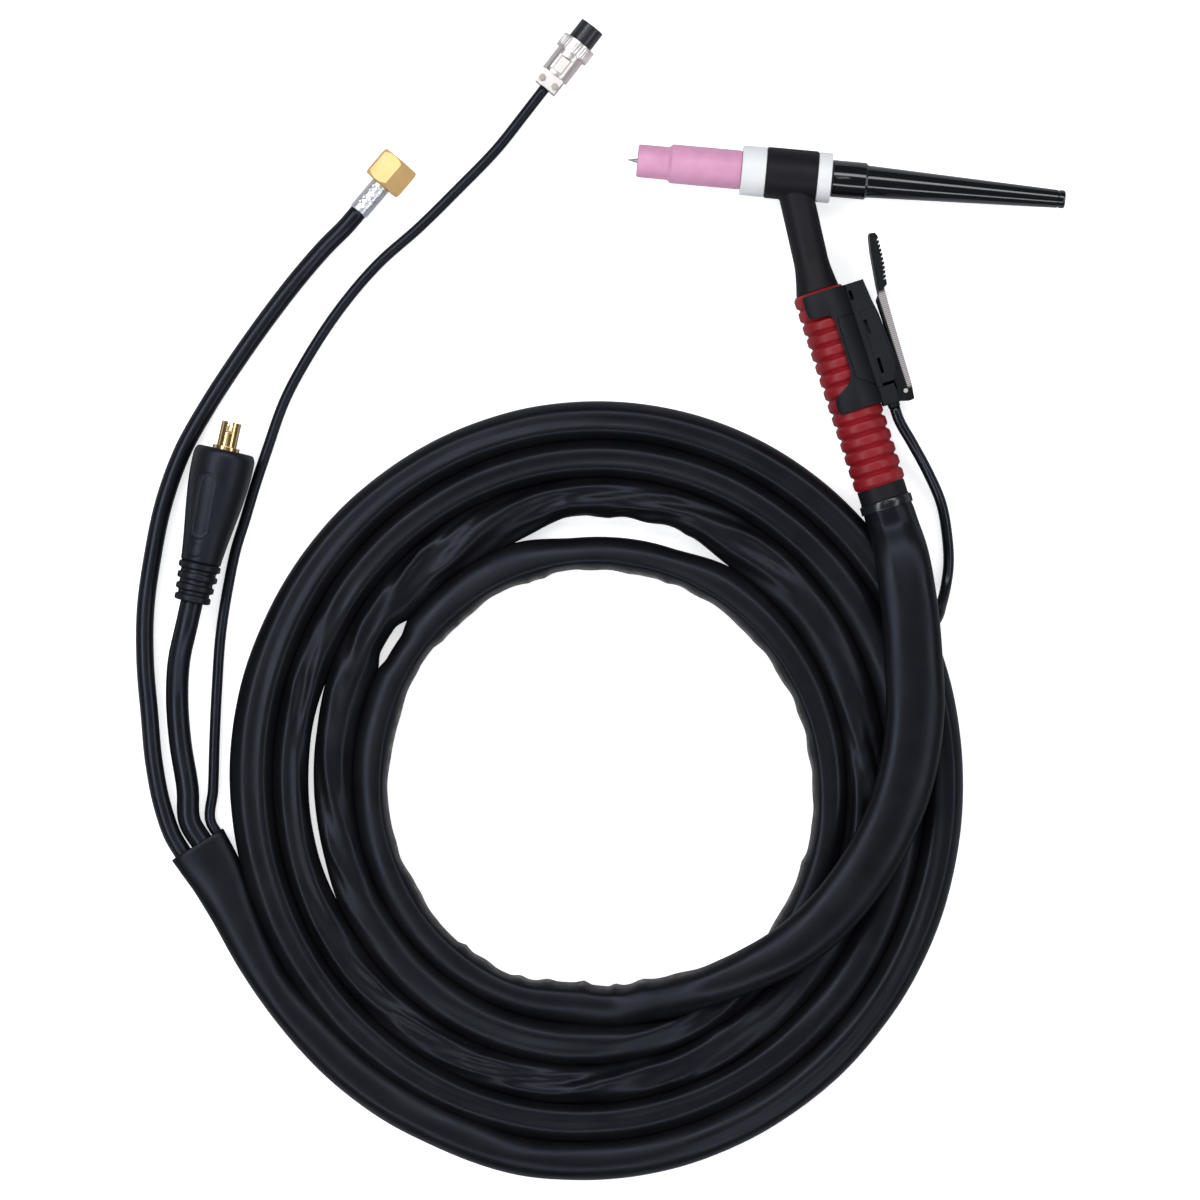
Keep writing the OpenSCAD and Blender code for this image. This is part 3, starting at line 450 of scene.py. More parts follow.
def makeSheathVinyl():  # soft vinyl: creases follow the sleeve; the fin at the inner fold is painted paler as a rim highlight
    material, tree, shader = startMaterial("sheathVinyl")
    coordinates = addNode(tree, "TexCoord").outputs
    vector = coordinates["Object"]
    sleeve = addNode(tree, "Mapping", {}, {
        "Vector": coordinates["UV"], "Scale": (0.45, 1.6, 1.0),
        "Rotation": (0, 0, math.radians(9))})
    color = useEffect(tree, "tint", {
        "Vector": vector, "Base": (0.0035, 0.0035, 0.0045, 1),
        "Shade": (0.007, 0.0065, 0.007, 1), "Scale": 55.0, "Amount": 0.8})
    # the fin attribute carries a painted rim highlight along the inner edge
    fin = addNode(tree, "Attribute", {"attribute_name": "fin"}).outputs["Fac"]
    finHighlightNoise = addRange(tree, addNoise(tree, vector, 190.0, 3.0), 0.15, 0.85)
    share = addMath(tree, "MULTIPLY", fin, finHighlightNoise, clamp=True)
    rough = useEffect(tree, "rough", {"Vector": vector, "Scale": 60.0, "Low": 0.32, "High": 0.42})
    creases = useEffect(tree, "creases", {
        "Vector": sleeve.outputs["Vector"], "Scale": 45.0, "Sharp": 3.0})
    leather = useEffect(tree, "grain", {"Vector": vector, "Scale": 900.0, "Cells": 0.7})
    normal = addBump(tree, leather, 0.14, 0.0001, addBump(tree, creases, 0.05, 0.0004))
    fillInputs(tree, shader, {
        # painted rim highlight: brownish grey mixed in along the inner fin
        "Base Color": mixColors(tree, share, color, (0.29, 0.265, 0.245, 1)),
        "Roughness": rough, "Specular IOR Level": 0.25,
        "Specular Tint": (0.72, 0.80, 1.0, 1.0), "Normal": normal})
    return material


materials["sheathVinyl"] = makeSheathVinyl()


def addLeverEdgeHighlight():  # the lever's outer edge is painted pale as a highlight, in stripes along its fine knurl
    tree = materials["leverPlastic"].node_tree
    parts = addNode(tree, "SeparateXYZ", {}, {"Vector": vectorAt(tree, "handle")}).outputs
    outer = addRange(tree, parts["Y"], 0.0250, 0.0257, kind="SMOOTHSTEP")
    start = addRange(tree, parts["X"], 0.0085, 0.0105, kind="SMOOTHSTEP")
    end = addRange(tree, parts["X"], 0.0555, 0.0540, kind="SMOOTHSTEP")
    mask = addMath(tree, "MULTIPLY", addMath(tree, "MULTIPLY", start, end), outer)
    knurl = addMath(tree, "SINE", addMath(tree, "MULTIPLY", parts["X"], 7000.0))
    share = addMath(tree, "MULTIPLY", mask, addRange(tree, knurl, -1.0, 1.0, (0.35, 1.0)))
    base = tree.nodes["Principled BSDF"].inputs["Base Color"]
    # painted highlight: pale grey mixed in along the outer edge, striped by the knurl
    knurledHighlight = mixColors(tree, share, base.links[0].from_socket, (0.52, 0.47, 0.46, 1))
    tree.links.new(knurledHighlight, base)


addLeverEdgeHighlight()
print("finishes made:", len(materials))


# Cords: a route of stops is smoothed, and rings are laid along it
def smoothRoute(stops, step):  # stops: x, y, z, then the values smoothed along with them
    points = [Vector(stop[:3]) for stop in stops]
    gaps = [(b - a).length for a, b in zip(points, points[1:])]
    slopes = []
    for i, here in enumerate(stops):
        before, after = gaps[max(i - 1, 0)], gaps[min(i, len(gaps) - 1)]
        low, high = stops[max(i - 1, 0)], stops[min(i + 1, len(stops) - 1)]
        if 0 < i < len(gaps):
            slopes.append([((h - m) / after * before + (m - l) / before * after)
                           / (before + after) for l, m, h in zip(low, here, high)])
        else:
            slopes.append([(h - l) / after for l, h in zip(low, high)])
    route = []
    for i, gap in enumerate(gaps):
        count = max(1, round(gap / step))
        for k in range(count):
            t = k / count
            weights = (2 * t**3 - 3 * t**2 + 1, (t**3 - 2 * t**2 + t) * gap, 3 * t**2 - 2 * t**3,
                       (t**3 - t**2) * gap)
            route.append([a * weights[0] + m * weights[1] + b * weights[2] + n * weights[3]
                          for a, m, b, n in zip(stops[i], slopes[i], stops[i + 1], slopes[i + 1])])
    route.append(list(stops[-1]))
    return route


def routeFrames(route):  # centre, side towards the left, up and distance along for each ring
    points = [Vector(stop[:3]) for stop in route]
    frames = []
    distance = 0.0
    for i, point in enumerate(points):
        way = (points[min(i + 1, len(points) - 1)] - points[max(i - 1, 0)]).normalized()
        side = way.cross(Vector((0, 0, 1))).normalized()
        if i:
            distance += (point - points[i - 1]).length
        frames.append((point, side, side.cross(way), way, distance))
    return frames


def tubeFrom(name, rings, distances, around):
    sides = len(rings[0])
    points = [point for ring in rings for point in ring]
    faces = []
    corners = []
    for k in range(len(rings) - 1):
        for j in range(sides):
            a, b = k * sides + j, k * sides + (j + 1) % sides
            faces.append((a, a + sides, b + sides, b))
            low, high = j / sides * around, (j + 1) / sides * around
            near, far = distances[k], distances[k + 1]
            corners += [(near, low), (far, low), (far, high), (near, high)]
    for k, flip in ((0, False), (len(rings) - 1, True)):
        middle = len(points)
        points.append(sum((rings[k][j] for j in range(sides)), Vector()) / sides)
        for j in range(sides):
            a, b = k * sides + j, k * sides + (j + 1) % sides
            faces.append((b, a, middle) if flip else (a, b, middle))
            corners += [(distances[k], 0.0)] * 3
    mesh = bpy.data.meshes.new(name)
    mesh.from_pydata(points, [], faces)
    layer = mesh.uv_layers.new(name="sleeve")
    for loop, corner in zip(layer.data, corners):
        loop.uv = corner
    mesh.polygons.foreach_set("use_smooth", [True] * len(faces))
    piece = addObject(name, mesh)
    startEditing(piece)
    bpy.ops.mesh.normals_make_consistent(inside=False)
    bpy.ops.object.mode_set(mode="OBJECT")
    return piece


def inMetres(points):
    return [[value / 1000 for value in point] for point in points]


coil = {"x": -0.089, "y": -0.2185, "firstRadius": 0.1015, "pitch": 0.0175, "turns": 4,
        "oval": 0.0036, "left": 0.0036, "up": 0.0034, "firstDip": 0.009, "firstTuck": 0.0035,
        "perLoop": 24, "leadIn": 0.017, "halfWide": 0.0082, "halfHigh": 0.00775}


def coilPoint(loop):
    angle = math.radians(-90 - 360 * loop)
    radius = coil["firstRadius"] + coil["pitch"] * loop - coil["oval"] * math.cos(2 * angle)
    radius += coil["up"] * math.sin(angle) - coil["left"] * math.cos(angle)
    if loop < 1:
        radius -= coil["firstDip"] * math.sin(math.pi * loop) ** 6
        radius -= coil["firstTuck"] * (1 - loop) ** 2
    return [coil["x"] + radius * math.cos(angle), coil["y"] + radius * math.sin(angle),
            coil["halfHigh"]]


sheath = {
    "run": [[40, -97, 22.4, 12.4, 7.2], [45.5, -119, 24.6, 13, 7.2], [50, -144, 24, 13.4, 7.2],
            [53, -169, 24, 13.6, 7.2], [52.5, -192, 24, 13.4, 7.2], [48, -216, 24, 13, 7.2],
            [39, -239, 24, 12.6, 7.2], [26, -261, 24, 12, 7.2], [9.5, -279.5, 24, 11, 7.4],
            [-11, -293.5, 24.6, 9.6, 7.6], [-33, -304.5, 22.2, 8.4, 7.7],
            [-45, -309, 17.5, 8.2, 7.7], [-57, -312.5, 12.5, 8.2, 7.7]],
    "tail": [[-140, -383.5], [-171, -371.5], [-197, -355], [-220, -334]],
    "tailWide": [[-240, -308, 7, 9.4, 7], [-252, -288, 6.4, 11, 6.4],
                 [-260.4, -273.8, 5.8, 12.8, 5.8]],
    "start": 0.1004, "startRadius": 0.01145, "step": 0.002, "sides": 36, "around": 0.052,
    "length": 4.0, "diameter": 0.019, "snug": 0.0009, "tuck": 0.0027,
    "outerSwell": 0.0022, "bendSwell": 0.0034,
}
mouth = {"at": Vector((-0.270, -0.261, 0)), "out": Vector((-0.6, 0.8, 0)),
         "side": Vector((0.8, 0.6, 0)), "halfWide": 0.014, "halfHigh": 0.0055, "deep": 0.014,
         "lip": ((-0.0004, 0.0003), (0.0, 0.0007), (0.004, 0.0009), (0.009, 0.0010)),
         "gas": -0.0079, "power": 0.0023, "control": 0.0102}


def sheathStops():
    half = [coil["halfWide"], coil["halfHigh"]]
    stops = [[*pointOf("handle", sheath["start"]), sheath["startRadius"], sheath["startRadius"]],
             [*pointOf("handle", 0.1062), 0.0115, 0.0113],
             [*(pointOf("handle", 0.115) + Vector((0, 0, 0.002))), 0.0116, 0.0096]]
    stops += inMetres(sheath["run"])
    first = coilPoint(0)
    stops.append([first[0] + coil["leadIn"], *first[1:], *half])
    around = 2 * math.pi * coil["firstRadius"]
    loops = [-coil["leadIn"] / around]
    for here, there in zip(reversed(stops[:-1]), reversed(stops)):
        loops.insert(0, loops[0] - (Vector(there[:3]) - Vector(here[:3])).length / around)
    for i in range(coil["turns"] * coil["perLoop"] + 1):
        stops.append([*coilPoint(i / coil["perLoop"]), *half])
        loops.append(i / coil["perLoop"])
    last = coilPoint(coil["turns"])
    tail = [[last[0] - coil["leadIn"], *last[1:], *half]]
    tail += [[x / 1000, y / 1000, coil["halfHigh"], *half] for x, y in sheath["tail"]]
    tail += inMetres(sheath["tailWide"])
    tail.append([*mouth["at"][:2], mouth["halfHigh"], mouth["halfWide"], mouth["halfHigh"]])
    loops += [4.03 + 0.1 * i for i in range(len(tail))]
    stops += tail
    return [[*stop, loop] for stop, loop in zip(stops, loops)]


# Where neighbouring turns stand apart: place on the turn, half length and how far open
openings = [(0.503, 0.076, 1.0), (0.333, 0.020, 0.9), (0.935, 0.024, 1.0)]
thinGap = {"at": 0.232, "half": 0.075, "deep": 0.0015}
# Where the sleeve is full of folds: loop, half length and share
fullFolds = [(0.90, 0.05, 0.5), (1.22, 0.06, 0.6), (1.42, 0.09, 1.0), (1.56, 0.05, 0.6),
             (1.74, 0.05, 0.7), (1.97, 0.09, 1.0), (2.13, 0.05, 0.5), (2.3, 0.05, 0.4)]


# How far the folds stand out, in metres
folds = {"swell": 0.0003, "drape": 0.0002, "fullDrape": 0.0042, "fullCrease": 0.0022,
         "sink": 0.0010, "hoses": (0.0009, 0.0007, 0.0005), "pleat": 0.0005,
         "looseOut": 0.0018, "looseUp": 0.0011}


def ripple(x, y, z):
    return noise.noise(Vector((x, y, z)))


def bump(value, middle, width):
    return math.exp(-((value - middle) / width) ** 2)


def gapShare(share, at, half):
    return 1 - smoothStep(0.4, 1.0, abs(share - at) / half)


def strandReach(loop):  # extra half width towards the centre and away from it
    inward = outward = 0.0
    if 0 <= loop < 2:
        share = loop % 1
        apart = coil["firstDip"] * math.sin(math.pi * share) ** 6
        apart += coil["firstTuck"] * (1 - share) ** 2
        shut = 1 - max(deep * gapShare(share, at, half) for at, half, deep in openings)
        if loop < 1:
            outward += 0.42 * apart * shut
            inward -= sheath["tuck"] * smoothStep(0.0, 0.06, loop) * (1 - smoothStep(0.9, 1, loop))
        else:
            inward += 0.58 * apart * shut
        inward += 0.58 * coil["firstTuck"] * smoothStep(0.95, 1.0, loop) * (loop < 1)
    elif loop < 0:
        outward += 0.50 * coil["firstTuck"] * smoothStep(-0.14, 0.0, loop)
    if 1 <= loop < 3:
        narrow = thinGap["deep"] * gapShare(loop % 1, thinGap["at"], thinGap["half"])
        if loop < 2:
            outward -= narrow
        else:
            inward -= narrow
    if 3 <= loop <= 4:
        outward += sheath["outerSwell"] * bump(loop, 3.25, 0.12)
    if loop > 4:
        bent = smoothStep(4.02, 4.16, loop) * (1 - smoothStep(4.38, 4.5, loop))
        inward += sheath["bendSwell"] * bent
    return inward, outward


def foldDepth(distance, loop, c, s):  # how far the sleeve's wall stands out there
    turn = ripple(distance * 16, 2.2, 8.8)
    full = min(1.0, sum(deep * bump(loop, at, half) for at, half, deep in fullFolds))
    swell = ripple(distance * 12, c * 0.8, s * 0.8)
    drape = ripple(distance * 36 + c * 1.5, c * 1.1 + 4, s * 0.5)
    crease = bump(ripple(distance * 30 + c * 1.5, c * 0.8 + turn, 7.0), 0, 0.26)
    depth = folds["swell"] * swell + folds["drape"] * drape
    if s > 0:
        gas, power, between = folds["hoses"]
        wander = 0.3 * ripple(distance * 4, 1.7, 3.1)
        show = smoothStep(-0.2, 0.3, ripple(distance * 5 + 9, 0.4, 0.9))
        hoses = gas * bump(c, 0.42 + wander, 0.26) + power * bump(c, wander - 0.42, 0.26)
        hoses -= between * bump(c, wander, 0.22)
        depth += s * show * (1 - 0.6 * full) * hoses
        depth += s * full * (folds["fullDrape"] * drape + folds["fullCrease"] * crease
                             - folds["sink"])
    return depth


def makeSheath():
    route = smoothRoute(sheathStops(), sheath["step"])
    frames = routeFrames(route)
    whole = frames[-1][4]
    sides = sheath["sides"]
    rings, distances, finHighlights = [], [], []
    for (centre, side, up, way, distance), stop in zip(frames, route):
        halfWide, halfHigh, loop = stop[3:6]
        inCoil = smoothStep(-0.3, 0.0, loop) * (1 - smoothStep(4.0, 4.2, loop))
        firstLoop = smoothStep(-0.16, -0.02, loop) * (1 - smoothStep(0.84, 0.92, loop))
        loose = max(firstLoop, bump(loop, 1.5, 0.08), bump(loop, 1.95, 0.05))
        fresh = smoothStep(0.004, 0.03, distance) * smoothStep(0.0, 0.012, whole - distance)
        lean = ripple(distance * 9, 9.1, 2.7) * 0.5
        wobble = max(-0.35, 0.5 - 2.0 * abs(ripple(distance * 62, 5.5, 0.3)))
        gather = math.exp(-distance / 0.022) * smoothStep(0.0045, 0.009, distance)
        inward, outward = strandReach(loop)
        snug = sheath["snug"] * inCoil
        ring = []
        for j in range(sides):
            angle = 2 * math.pi * j / sides - math.pi / 2
            c, s = math.cos(angle), math.sin(angle)
            edge = smoothStep(0.45, 0.98, c)
            fin = firstLoop * edge
            reach = inward if c > 0 else outward
            across = (halfWide + snug + reach) * math.copysign(abs(c) ** 0.92, c)
            high = halfHigh * math.copysign(abs(s) ** 0.96, s)
            high *= 1 + (lean * c * 0.5 - 0.45 * fin) * fresh * (s > 0)
            depth = foldDepth(distance, loop, c, s) * fresh
            depth += folds["pleat"] * gather * math.cos(11 * angle + 3 * lean)
            if inCoil > 0.5 and abs(c) > 0.6:  # neighbouring strands keep their gap
                depth = min(depth, 0.0003 - 0.0001 * abs(c))
            if s < -0.3:
                depth = min(depth, 0.0) * (1 - smoothStep(0.3, 0.8, -s))
            across += depth * c + loose * edge * folds["looseOut"] * wobble * fresh
            high += depth * s + loose * edge * folds["looseUp"] * wobble * fresh
            ring.append(centre + side * across + up * high)
            # how strongly the inner edge gets its painted rim highlight
            finHighlights.append(firstLoop * smoothStep(0.70, 0.95, c) * (0.7 + 0.5 * wobble))
        rings.append(ring)
        distances.append(distance)
    # the mouth's lip turns in, and the wall runs back inside it
    centre, side, up, way, distance = frames[-1]
    outer = rings[-1]
    for back, inset in (*mouth["lip"], (mouth["deep"], 0.0011)):
        ring = []
        for point in outer:
            offset = point - centre
            shrink = 1 - inset / max(offset.length, 1e-4)
            narrow = 1 - 0.12 * max(back, 0) / mouth["deep"]
            flat = side * side.dot(offset) * narrow + up * up.dot(offset)
            ring.append(centre - way * back + flat * shrink)
        rings.append(ring)
        distances.append(distance + 0.0005 + abs(back))
        finHighlights += [0.0] * sides
    piece = tubeFrom("sheath", rings, distances, sheath["around"])
    attribute = piece.data.attributes.new("fin", "FLOAT", "POINT")
    attribute.data.foreach_set("value", finHighlights + [0.0, 0.0])
    finishPiece(piece, "root", "sheathVinyl",
                ["sheath_run", "sheath_coil", "sheath_tail"])
    print("sheath", round(whole, 3), "m")


leads = {
    "gas": {"radius": 0.00415, "points": [
        [-287.5, -246], [-293.5, -226], [-298, -202], [-302, -179], [-304, -155], [-303, -131],
        [-300, -105], [-293, -79], [-284.5, -60], [-273.5, -39], [-260.5, -16.5]],
        "rise": [[-246, 6, 5.5], [-235.5, 20, 8.6]], "foot": -0.0163, "endsAt": -0.0158},
    "power": {"radius": 0.00525, "points": [[-277, -236], [-282.5, -214]],
              "rise": [[-285.5, -195, 6.5], [-286, -177, 10.5]], "foot": 0.0,
              "endsAt": 0.0015},
    "control": {"radius": 0.0025, "points": [
        [-265.5, -235], [-267, -211], [-268, -188], [-268.5, -164], [-267, -140], [-265, -123],
        [-262, -109], [-259, -94], [-255, -77], [-248.5, -52], [-239, -30], [-227, -8],
        [-211, 14.5], [-194.5, 32], [-178, 51.5]],
        "rise": [[-161, 72.5, 4], [-150, 89, 7]], "foot": 0.0, "endsAt": 0.0005},
    "switch": {"radius": 0.0025, "points": [
        [41, -46.5, 12.5], [50, -59.5, 8], [57.5, -73, 4.5], [61.5, -87, 3], [63.5, -101, 3],
        [63, -111, 5], [61.5, -119, 10.5], [60, -125, 16.5], [56.5, -131, 21]]},
    "sides": 24, "step": 0.0025, "inMouth": 0.012,
}
fittings = {"gas": "gas", "power": "plug", "control": "connector"}


def leadPoints(name):
    lead = leads[name]
    radius = lead["radius"]
    if name == "switch":
        start = pointOf("handle", 0.0616, 0.0173)
        points = [start - wayOf("handle") * 0.001, start + wayOf("handle") * 0.005]
        return points + [Vector(point) for point in inMetres(lead["points"])]
    exit = mouth["at"] + mouth["side"] * mouth[name] + Vector((0, 0, radius))
    points = [exit + mouth["out"] * out for out in (-leads["inMouth"], 0.0, 2 * radius)]
    points += [Vector((x / 1000, y / 1000, radius)) for x, y in lead["points"]]
    points += [Vector(point) for point in inMetres(lead["rise"])]
    place = fittings[name]
    return points + [pointOf(place, lead["foot"] - 2 * radius), pointOf(place, lead["endsAt"])]


def makeLead(name, title):
    radius = leads[name]["radius"]
    route = smoothRoute([[*point, radius] for point in leadPoints(name)], leads["step"])
    frames = routeFrames(route)
    rings = []
    for centre, side, up, way, distance in frames:
        ring = []
        for j in range(leads["sides"]):
            angle = 2 * math.pi * j / leads["sides"] - math.pi / 2
            c, s = math.cos(angle), math.sin(angle)
            here = radius * (0.992 + 0.012 * ripple(distance * 30, c, s + 5))
            ring.append(centre + side * (here * c) + up * (here * s))
        rings.append(ring)
    around = 2 * math.pi * radius
    piece = tubeFrom(title + "_laid", rings, [frame[4] for frame in frames], around)
    finish = "leadGloss" if name == "switch" else "cableRubber"
    finishPiece(piece, "root", finish, [title])
    print(title, round(frames[-1][4], 3), "m")
    return piece, [frame[0] for frame in frames]


makeSheath()
gasHose, gasPath = makeLead("gas", "gas_hose")
powerCable, powerPath = makeLead("power", "power_cable")
controlLead, controlPath = makeLead("control", "control_lead")
switchLead, switchPath = makeLead("switch", "switch_lead")
print("cords laid")

# Nozzle and insulator rings, measured along the head
nozzle = {"front": -0.0712, "length": 0.048, "noseLength": 0.014, "noseRadius": 0.0076,
          "radius": 0.009, "bore": 0.0055, "threadBore": 0.00705, "threadDeep": 0.015}


def makeNozzle():
    front, back = nozzle["front"], nozzle["front"] + nozzle["length"]
    nose = front + nozzle["noseLength"]
    tip, body = nozzle["noseRadius"], nozzle["radius"]
    bore, threadBore = nozzle["bore"], nozzle["threadBore"]
    outline = [(front + 0.001, bore), (front + 0.0003, bore + 0.0002), (front, bore + 0.0006),
               (front, tip - 0.0009), (front + 0.0002, tip - 0.0004),
               (front + 0.0005, tip - 0.0001), (front + 0.001, tip), (nose - 0.0006, tip)]
    for i in range(9):  # a soft step up to the body
        share = i / 8
        outline.append((nose + 0.0022 * share, tip + (body - tip) * smoothStep(0, 1, share)))
    outline += [(back - 0.0008, body), (back - 0.0002, body - 0.0002), (back, body - 0.0006),
                (back, threadBore), (back - nozzle["threadDeep"], threadBore),
                (back - 0.017, bore), (front + 0.001, bore)]
    piece = turnedPiece("ceramic_nozzle_shaped", outline, "head")
    smoothShade(piece, 38)
    return finishPiece(piece, "nozzle", "pinkCeramic", ["ceramic_nozzle"])


def makeRing(title, node, start, end, bore, radius):
    piece = turnedPiece(title, bandOutline(start, end, bore, radius), "head")
    bevelEdges(piece, 0.0005, 3)
    smoothShade(piece)
    return finishPiece(piece, "root", "whiteRing", [node])


makeNozzle()
makeRing("front_ring_shaped", "front_ring", -0.0231, -0.01195, 0.00555, 0.0115)
makeRing("rear_ring_shaped", "rear_ring", 0.01195, 0.0183, 0.007, 0.0115)

# Back cap: collar, long taper and a turned rim at the closed end
backCap = {"nose": 0.007, "front": 0.0184, "end": 0.1264, "collar": 0.0085, "collarLength": 0.016,
           "body": 0.0074, "tip": 0.0042}


def makeBackCap():
    nose, front, end = backCap["nose"], backCap["front"], backCap["end"]
    collar, body, tip = backCap["collar"], backCap["body"], backCap["tip"]
    step = front + backCap["collarLength"]
    outline = [(nose, 0.0018), (nose, 0.005), (front, 0.005), (front, collar - 0.0007),
               (front + 0.0002, collar - 0.0002), (front + 0.0007, collar),
               (step - 0.0006, collar), (step - 0.0001, collar - 0.0002),
               (step + 0.0002, body + 0.0003), (step + 0.001, body)]
    for i in range(1, 13):
        share = i / 12
        outline.append((step + 0.001 + (end - 0.0046 - step) * share, body + (tip - body) * share))
    outline += [(end - 0.0033, tip - 0.0003), (end - 0.003, tip - 0.0003), (end - 0.0027, tip),
                (end - 0.0009, tip), (end - 0.0003, tip - 0.0003), (end, tip - 0.0009), (end, 0),
                (end - 0.004, 0), (end - 0.0045, 0.0018), (nose, 0.0018)]
    piece = turnedPiece("back_cap_shaped", outline, "head")
    smoothShade(piece, 34)
    return finishPiece(piece, "cap", "capGloss", ["back_cap"])


makeBackCap()
print("nozzle, rings and back cap turned")

# Head cover and neck, one rubber moulding
neck = {"coverHalf": 0.0119, "coverRadius": 0.0118, "radius": 0.008, "length": 0.055,
        "flareLength": 0.012, "voxel": 0.00045, "bore": 0.0076}


def makeNeck():
    half, radius = neck["coverHalf"], neck["coverRadius"]
    outline = [(-half, 0), (-half, radius - 0.0004), (-half + 0.0004, radius),
               (half - 0.0004, radius), (half, radius - 0.0004), (half, 0)]
    cover = turnedPiece("head_cover_shaped", outline, "head", 128)
    flare = neck["length"] - neck["flareLength"]
    outline = [(0, 0), (0, neck["radius"]), (flare - 0.002, neck["radius"])]
    for i in range(1, 11):
        share = i / 10
        outline.append((flare - 0.002 + (neck["flareLength"] + 0.008) * share,
                        neck["radius"] + 0.0036 * share ** 1.4))
    outline.append((outline[-1][0], 0))
    stem = turnedPiece("neck_stem", outline, "neck", 128)
    startEditing(stem)
    bpy.ops.mesh.bisect(plane_co=pointOf("handle", -0.00005), plane_no=wayOf("handle"),
                        use_fill=True, clear_outer=True)
    bpy.ops.object.mode_set(mode="OBJECT")
    cutWith(cover, stem, "UNION")
    remesh = cover.modifiers.new("blend", "REMESH")
    remesh.mode = "VOXEL"
    remesh.voxel_size = neck["voxel"]
    soften = cover.modifiers.new("soften", "SMOOTH")
    soften.factor = 0.5
    soften.iterations = 5
    applyModifiers(cover)
    bore = neck["bore"]
    outline = [(-0.02, 0), (-0.02, bore), (half, bore), (half, radius), (0.0186, radius),
               (0.0186, 0)]
    cutWith(cover, turnedPiece("cover_bore", outline, "head", 128))
    smoothShade(cover, 40)
    return finishPiece(cover, "root", "neckRubber", ["head_cover"])


makeNeck()
print("head cover and neck moulded")

# Handle with rounded ribs, and the boot under its end
handle = {"length": 0.094, "ribs": 15, "crest": 0.012, "groove": 0.0014, "bore": 0.0085,
          "perRib": 14}


def makeHandle():
    length, crest, bore = handle["length"], handle["crest"], handle["bore"]
    pitch = length / handle["ribs"]
    outline = [(0, bore), (0, crest - 0.0011)]
    for i in range(1, handle["ribs"] * handle["perRib"]):
        along = i / handle["perRib"] * pitch
        depth = handle["groove"] * abs(math.cos(math.pi * along / pitch)) ** 9
        if along < pitch / 2 or along > length - pitch / 2:
            depth *= 0.75
        outline.append((along, crest - depth))
    outline += [(length, crest - 0.0011), (length, bore), (0, bore)]
    piece = turnedPiece("handle_ribbed", outline, "handle")
    smoothShade(piece, 50)
    return finishPiece(piece, "root", "handleRed", ["handle"])


makeHandle()
boot = roundedCopy("end_boot_shaped", "end_boot", 0.0005)
finishPiece(boot, "root", "neckRubber", ["end_boot"])

tie = {"start": 0.101, "width": 0.004, "inner": 0.01155, "outer": 0.0123, "head": 0.0042}


def makeTie():  # a plain strap with its small locking head
    start = tie["start"]
    outline = bandOutline(start, start + tie["width"], tie["inner"], tie["outer"])
    piece = turnedPiece("sheath_tie_strap", outline, "handle", 96)
    bevelEdges(piece, 0.00022, 2)
    deselectAll()
    bpy.ops.mesh.primitive_cube_add(size=1, location=(0, 0, 0))
    head = bpy.context.object
    size = tie["head"]
    head.data.transform(Matrix.Diagonal((tie["width"] + 0.001, size, size * 0.8, 1)))
    head.data.transform(Matrix.Translation((start + tie["width"] / 2, 0.0035, -0.0119)))
    head.data.transform(placeOf("handle"))
    bevelEdges(head, 0.0005, 3)
    cutWith(piece, head, "UNION")
    smoothShade(piece)
    return finishPiece(piece, "root", "tieGloss", ["sheath_tie"])


makeTie()
print("handle, boot and tie made")

# Trigger switch: clip round the handle, housing, cover, clamp and lever
clip = {"start": 0.0012, "end": 0.0576, "inner": 0.01205, "outer": 0.01395, "seam": [
    (14.8, 14.2), (14.8, 3.6), (43.6, 3.6), (50.9, 14.0), (50.5, 14.2), (43.4, 4.0), (15.2, 4.0),
    (15.2, 14.2)], "outline": [
    (0.0, 14.5), (0.0, -6.4), (0.5, -7.6), (1.6, -8.3), (3.0, -8.6), (9.2, -8.6), (10.8, -8.2),
    (11.8, -7.2), (12.2, -5.6), (12.4, -1.0), (12.9, 0.9), (14.0, 2.1), (15.8, 2.6),
    (37.0, 2.6), (40.0, 2.3), (42.6, 1.5), (44.8, 0.1), (46.6, -2.0), (48.0, -4.6),
    (49.0, -6.6), (50.2, -7.9), (51.8, -8.5), (55.4, -8.6), (57.0, -8.0), (57.9, -6.6),
    (58.4, -4.0), (58.4, 14.5)]}


def makeClip():
    outline = bandOutline(clip["start"], clip["end"], clip["inner"], clip["outer"])
    piece = turnedPiece("switch_clip_shaped", outline, "handle", 128)
    shape = inMetres(clip["outline"])
    cutWith(piece, cutPiece("clip_shape", shape, -0.02, 0.02, "handle"), "INTERSECT")
    groove = turnedPiece("clip_groove", bandOutline(0, 0.06, 0.0135, 0.016), "handle", 128)
    shape = inMetres(clip["seam"])
    cutWith(groove, cutPiece("seam_shape", shape, 0.001, 0.02, "handle"), "INTERSECT")
    cutWith(piece, groove)
    bevelEdges(piece, 0.0004, 3, 35)
    smoothShade(piece)
    return finishPiece(piece, "root", "switchPlastic", ["switch_clip"])


makeClip()
windows = [(6.6, 13.6, 4.6), (22.8, 16.2, 7.0), (41.4, 16.6, 7.0)]  # along, across, length


def cutWindows(piece):
    for along, across, length in windows:
        half, wide = length / 2000, 0.0008
        along, across = along / 1000, across / 1000
        corners = [(along - half, across - wide), (along + half, across - wide),
                   (along + half, across + wide), (along - half, across + wide)]
        cutWith(piece, cutPiece("window", corners, 0.0036, 0.012, "handle"))


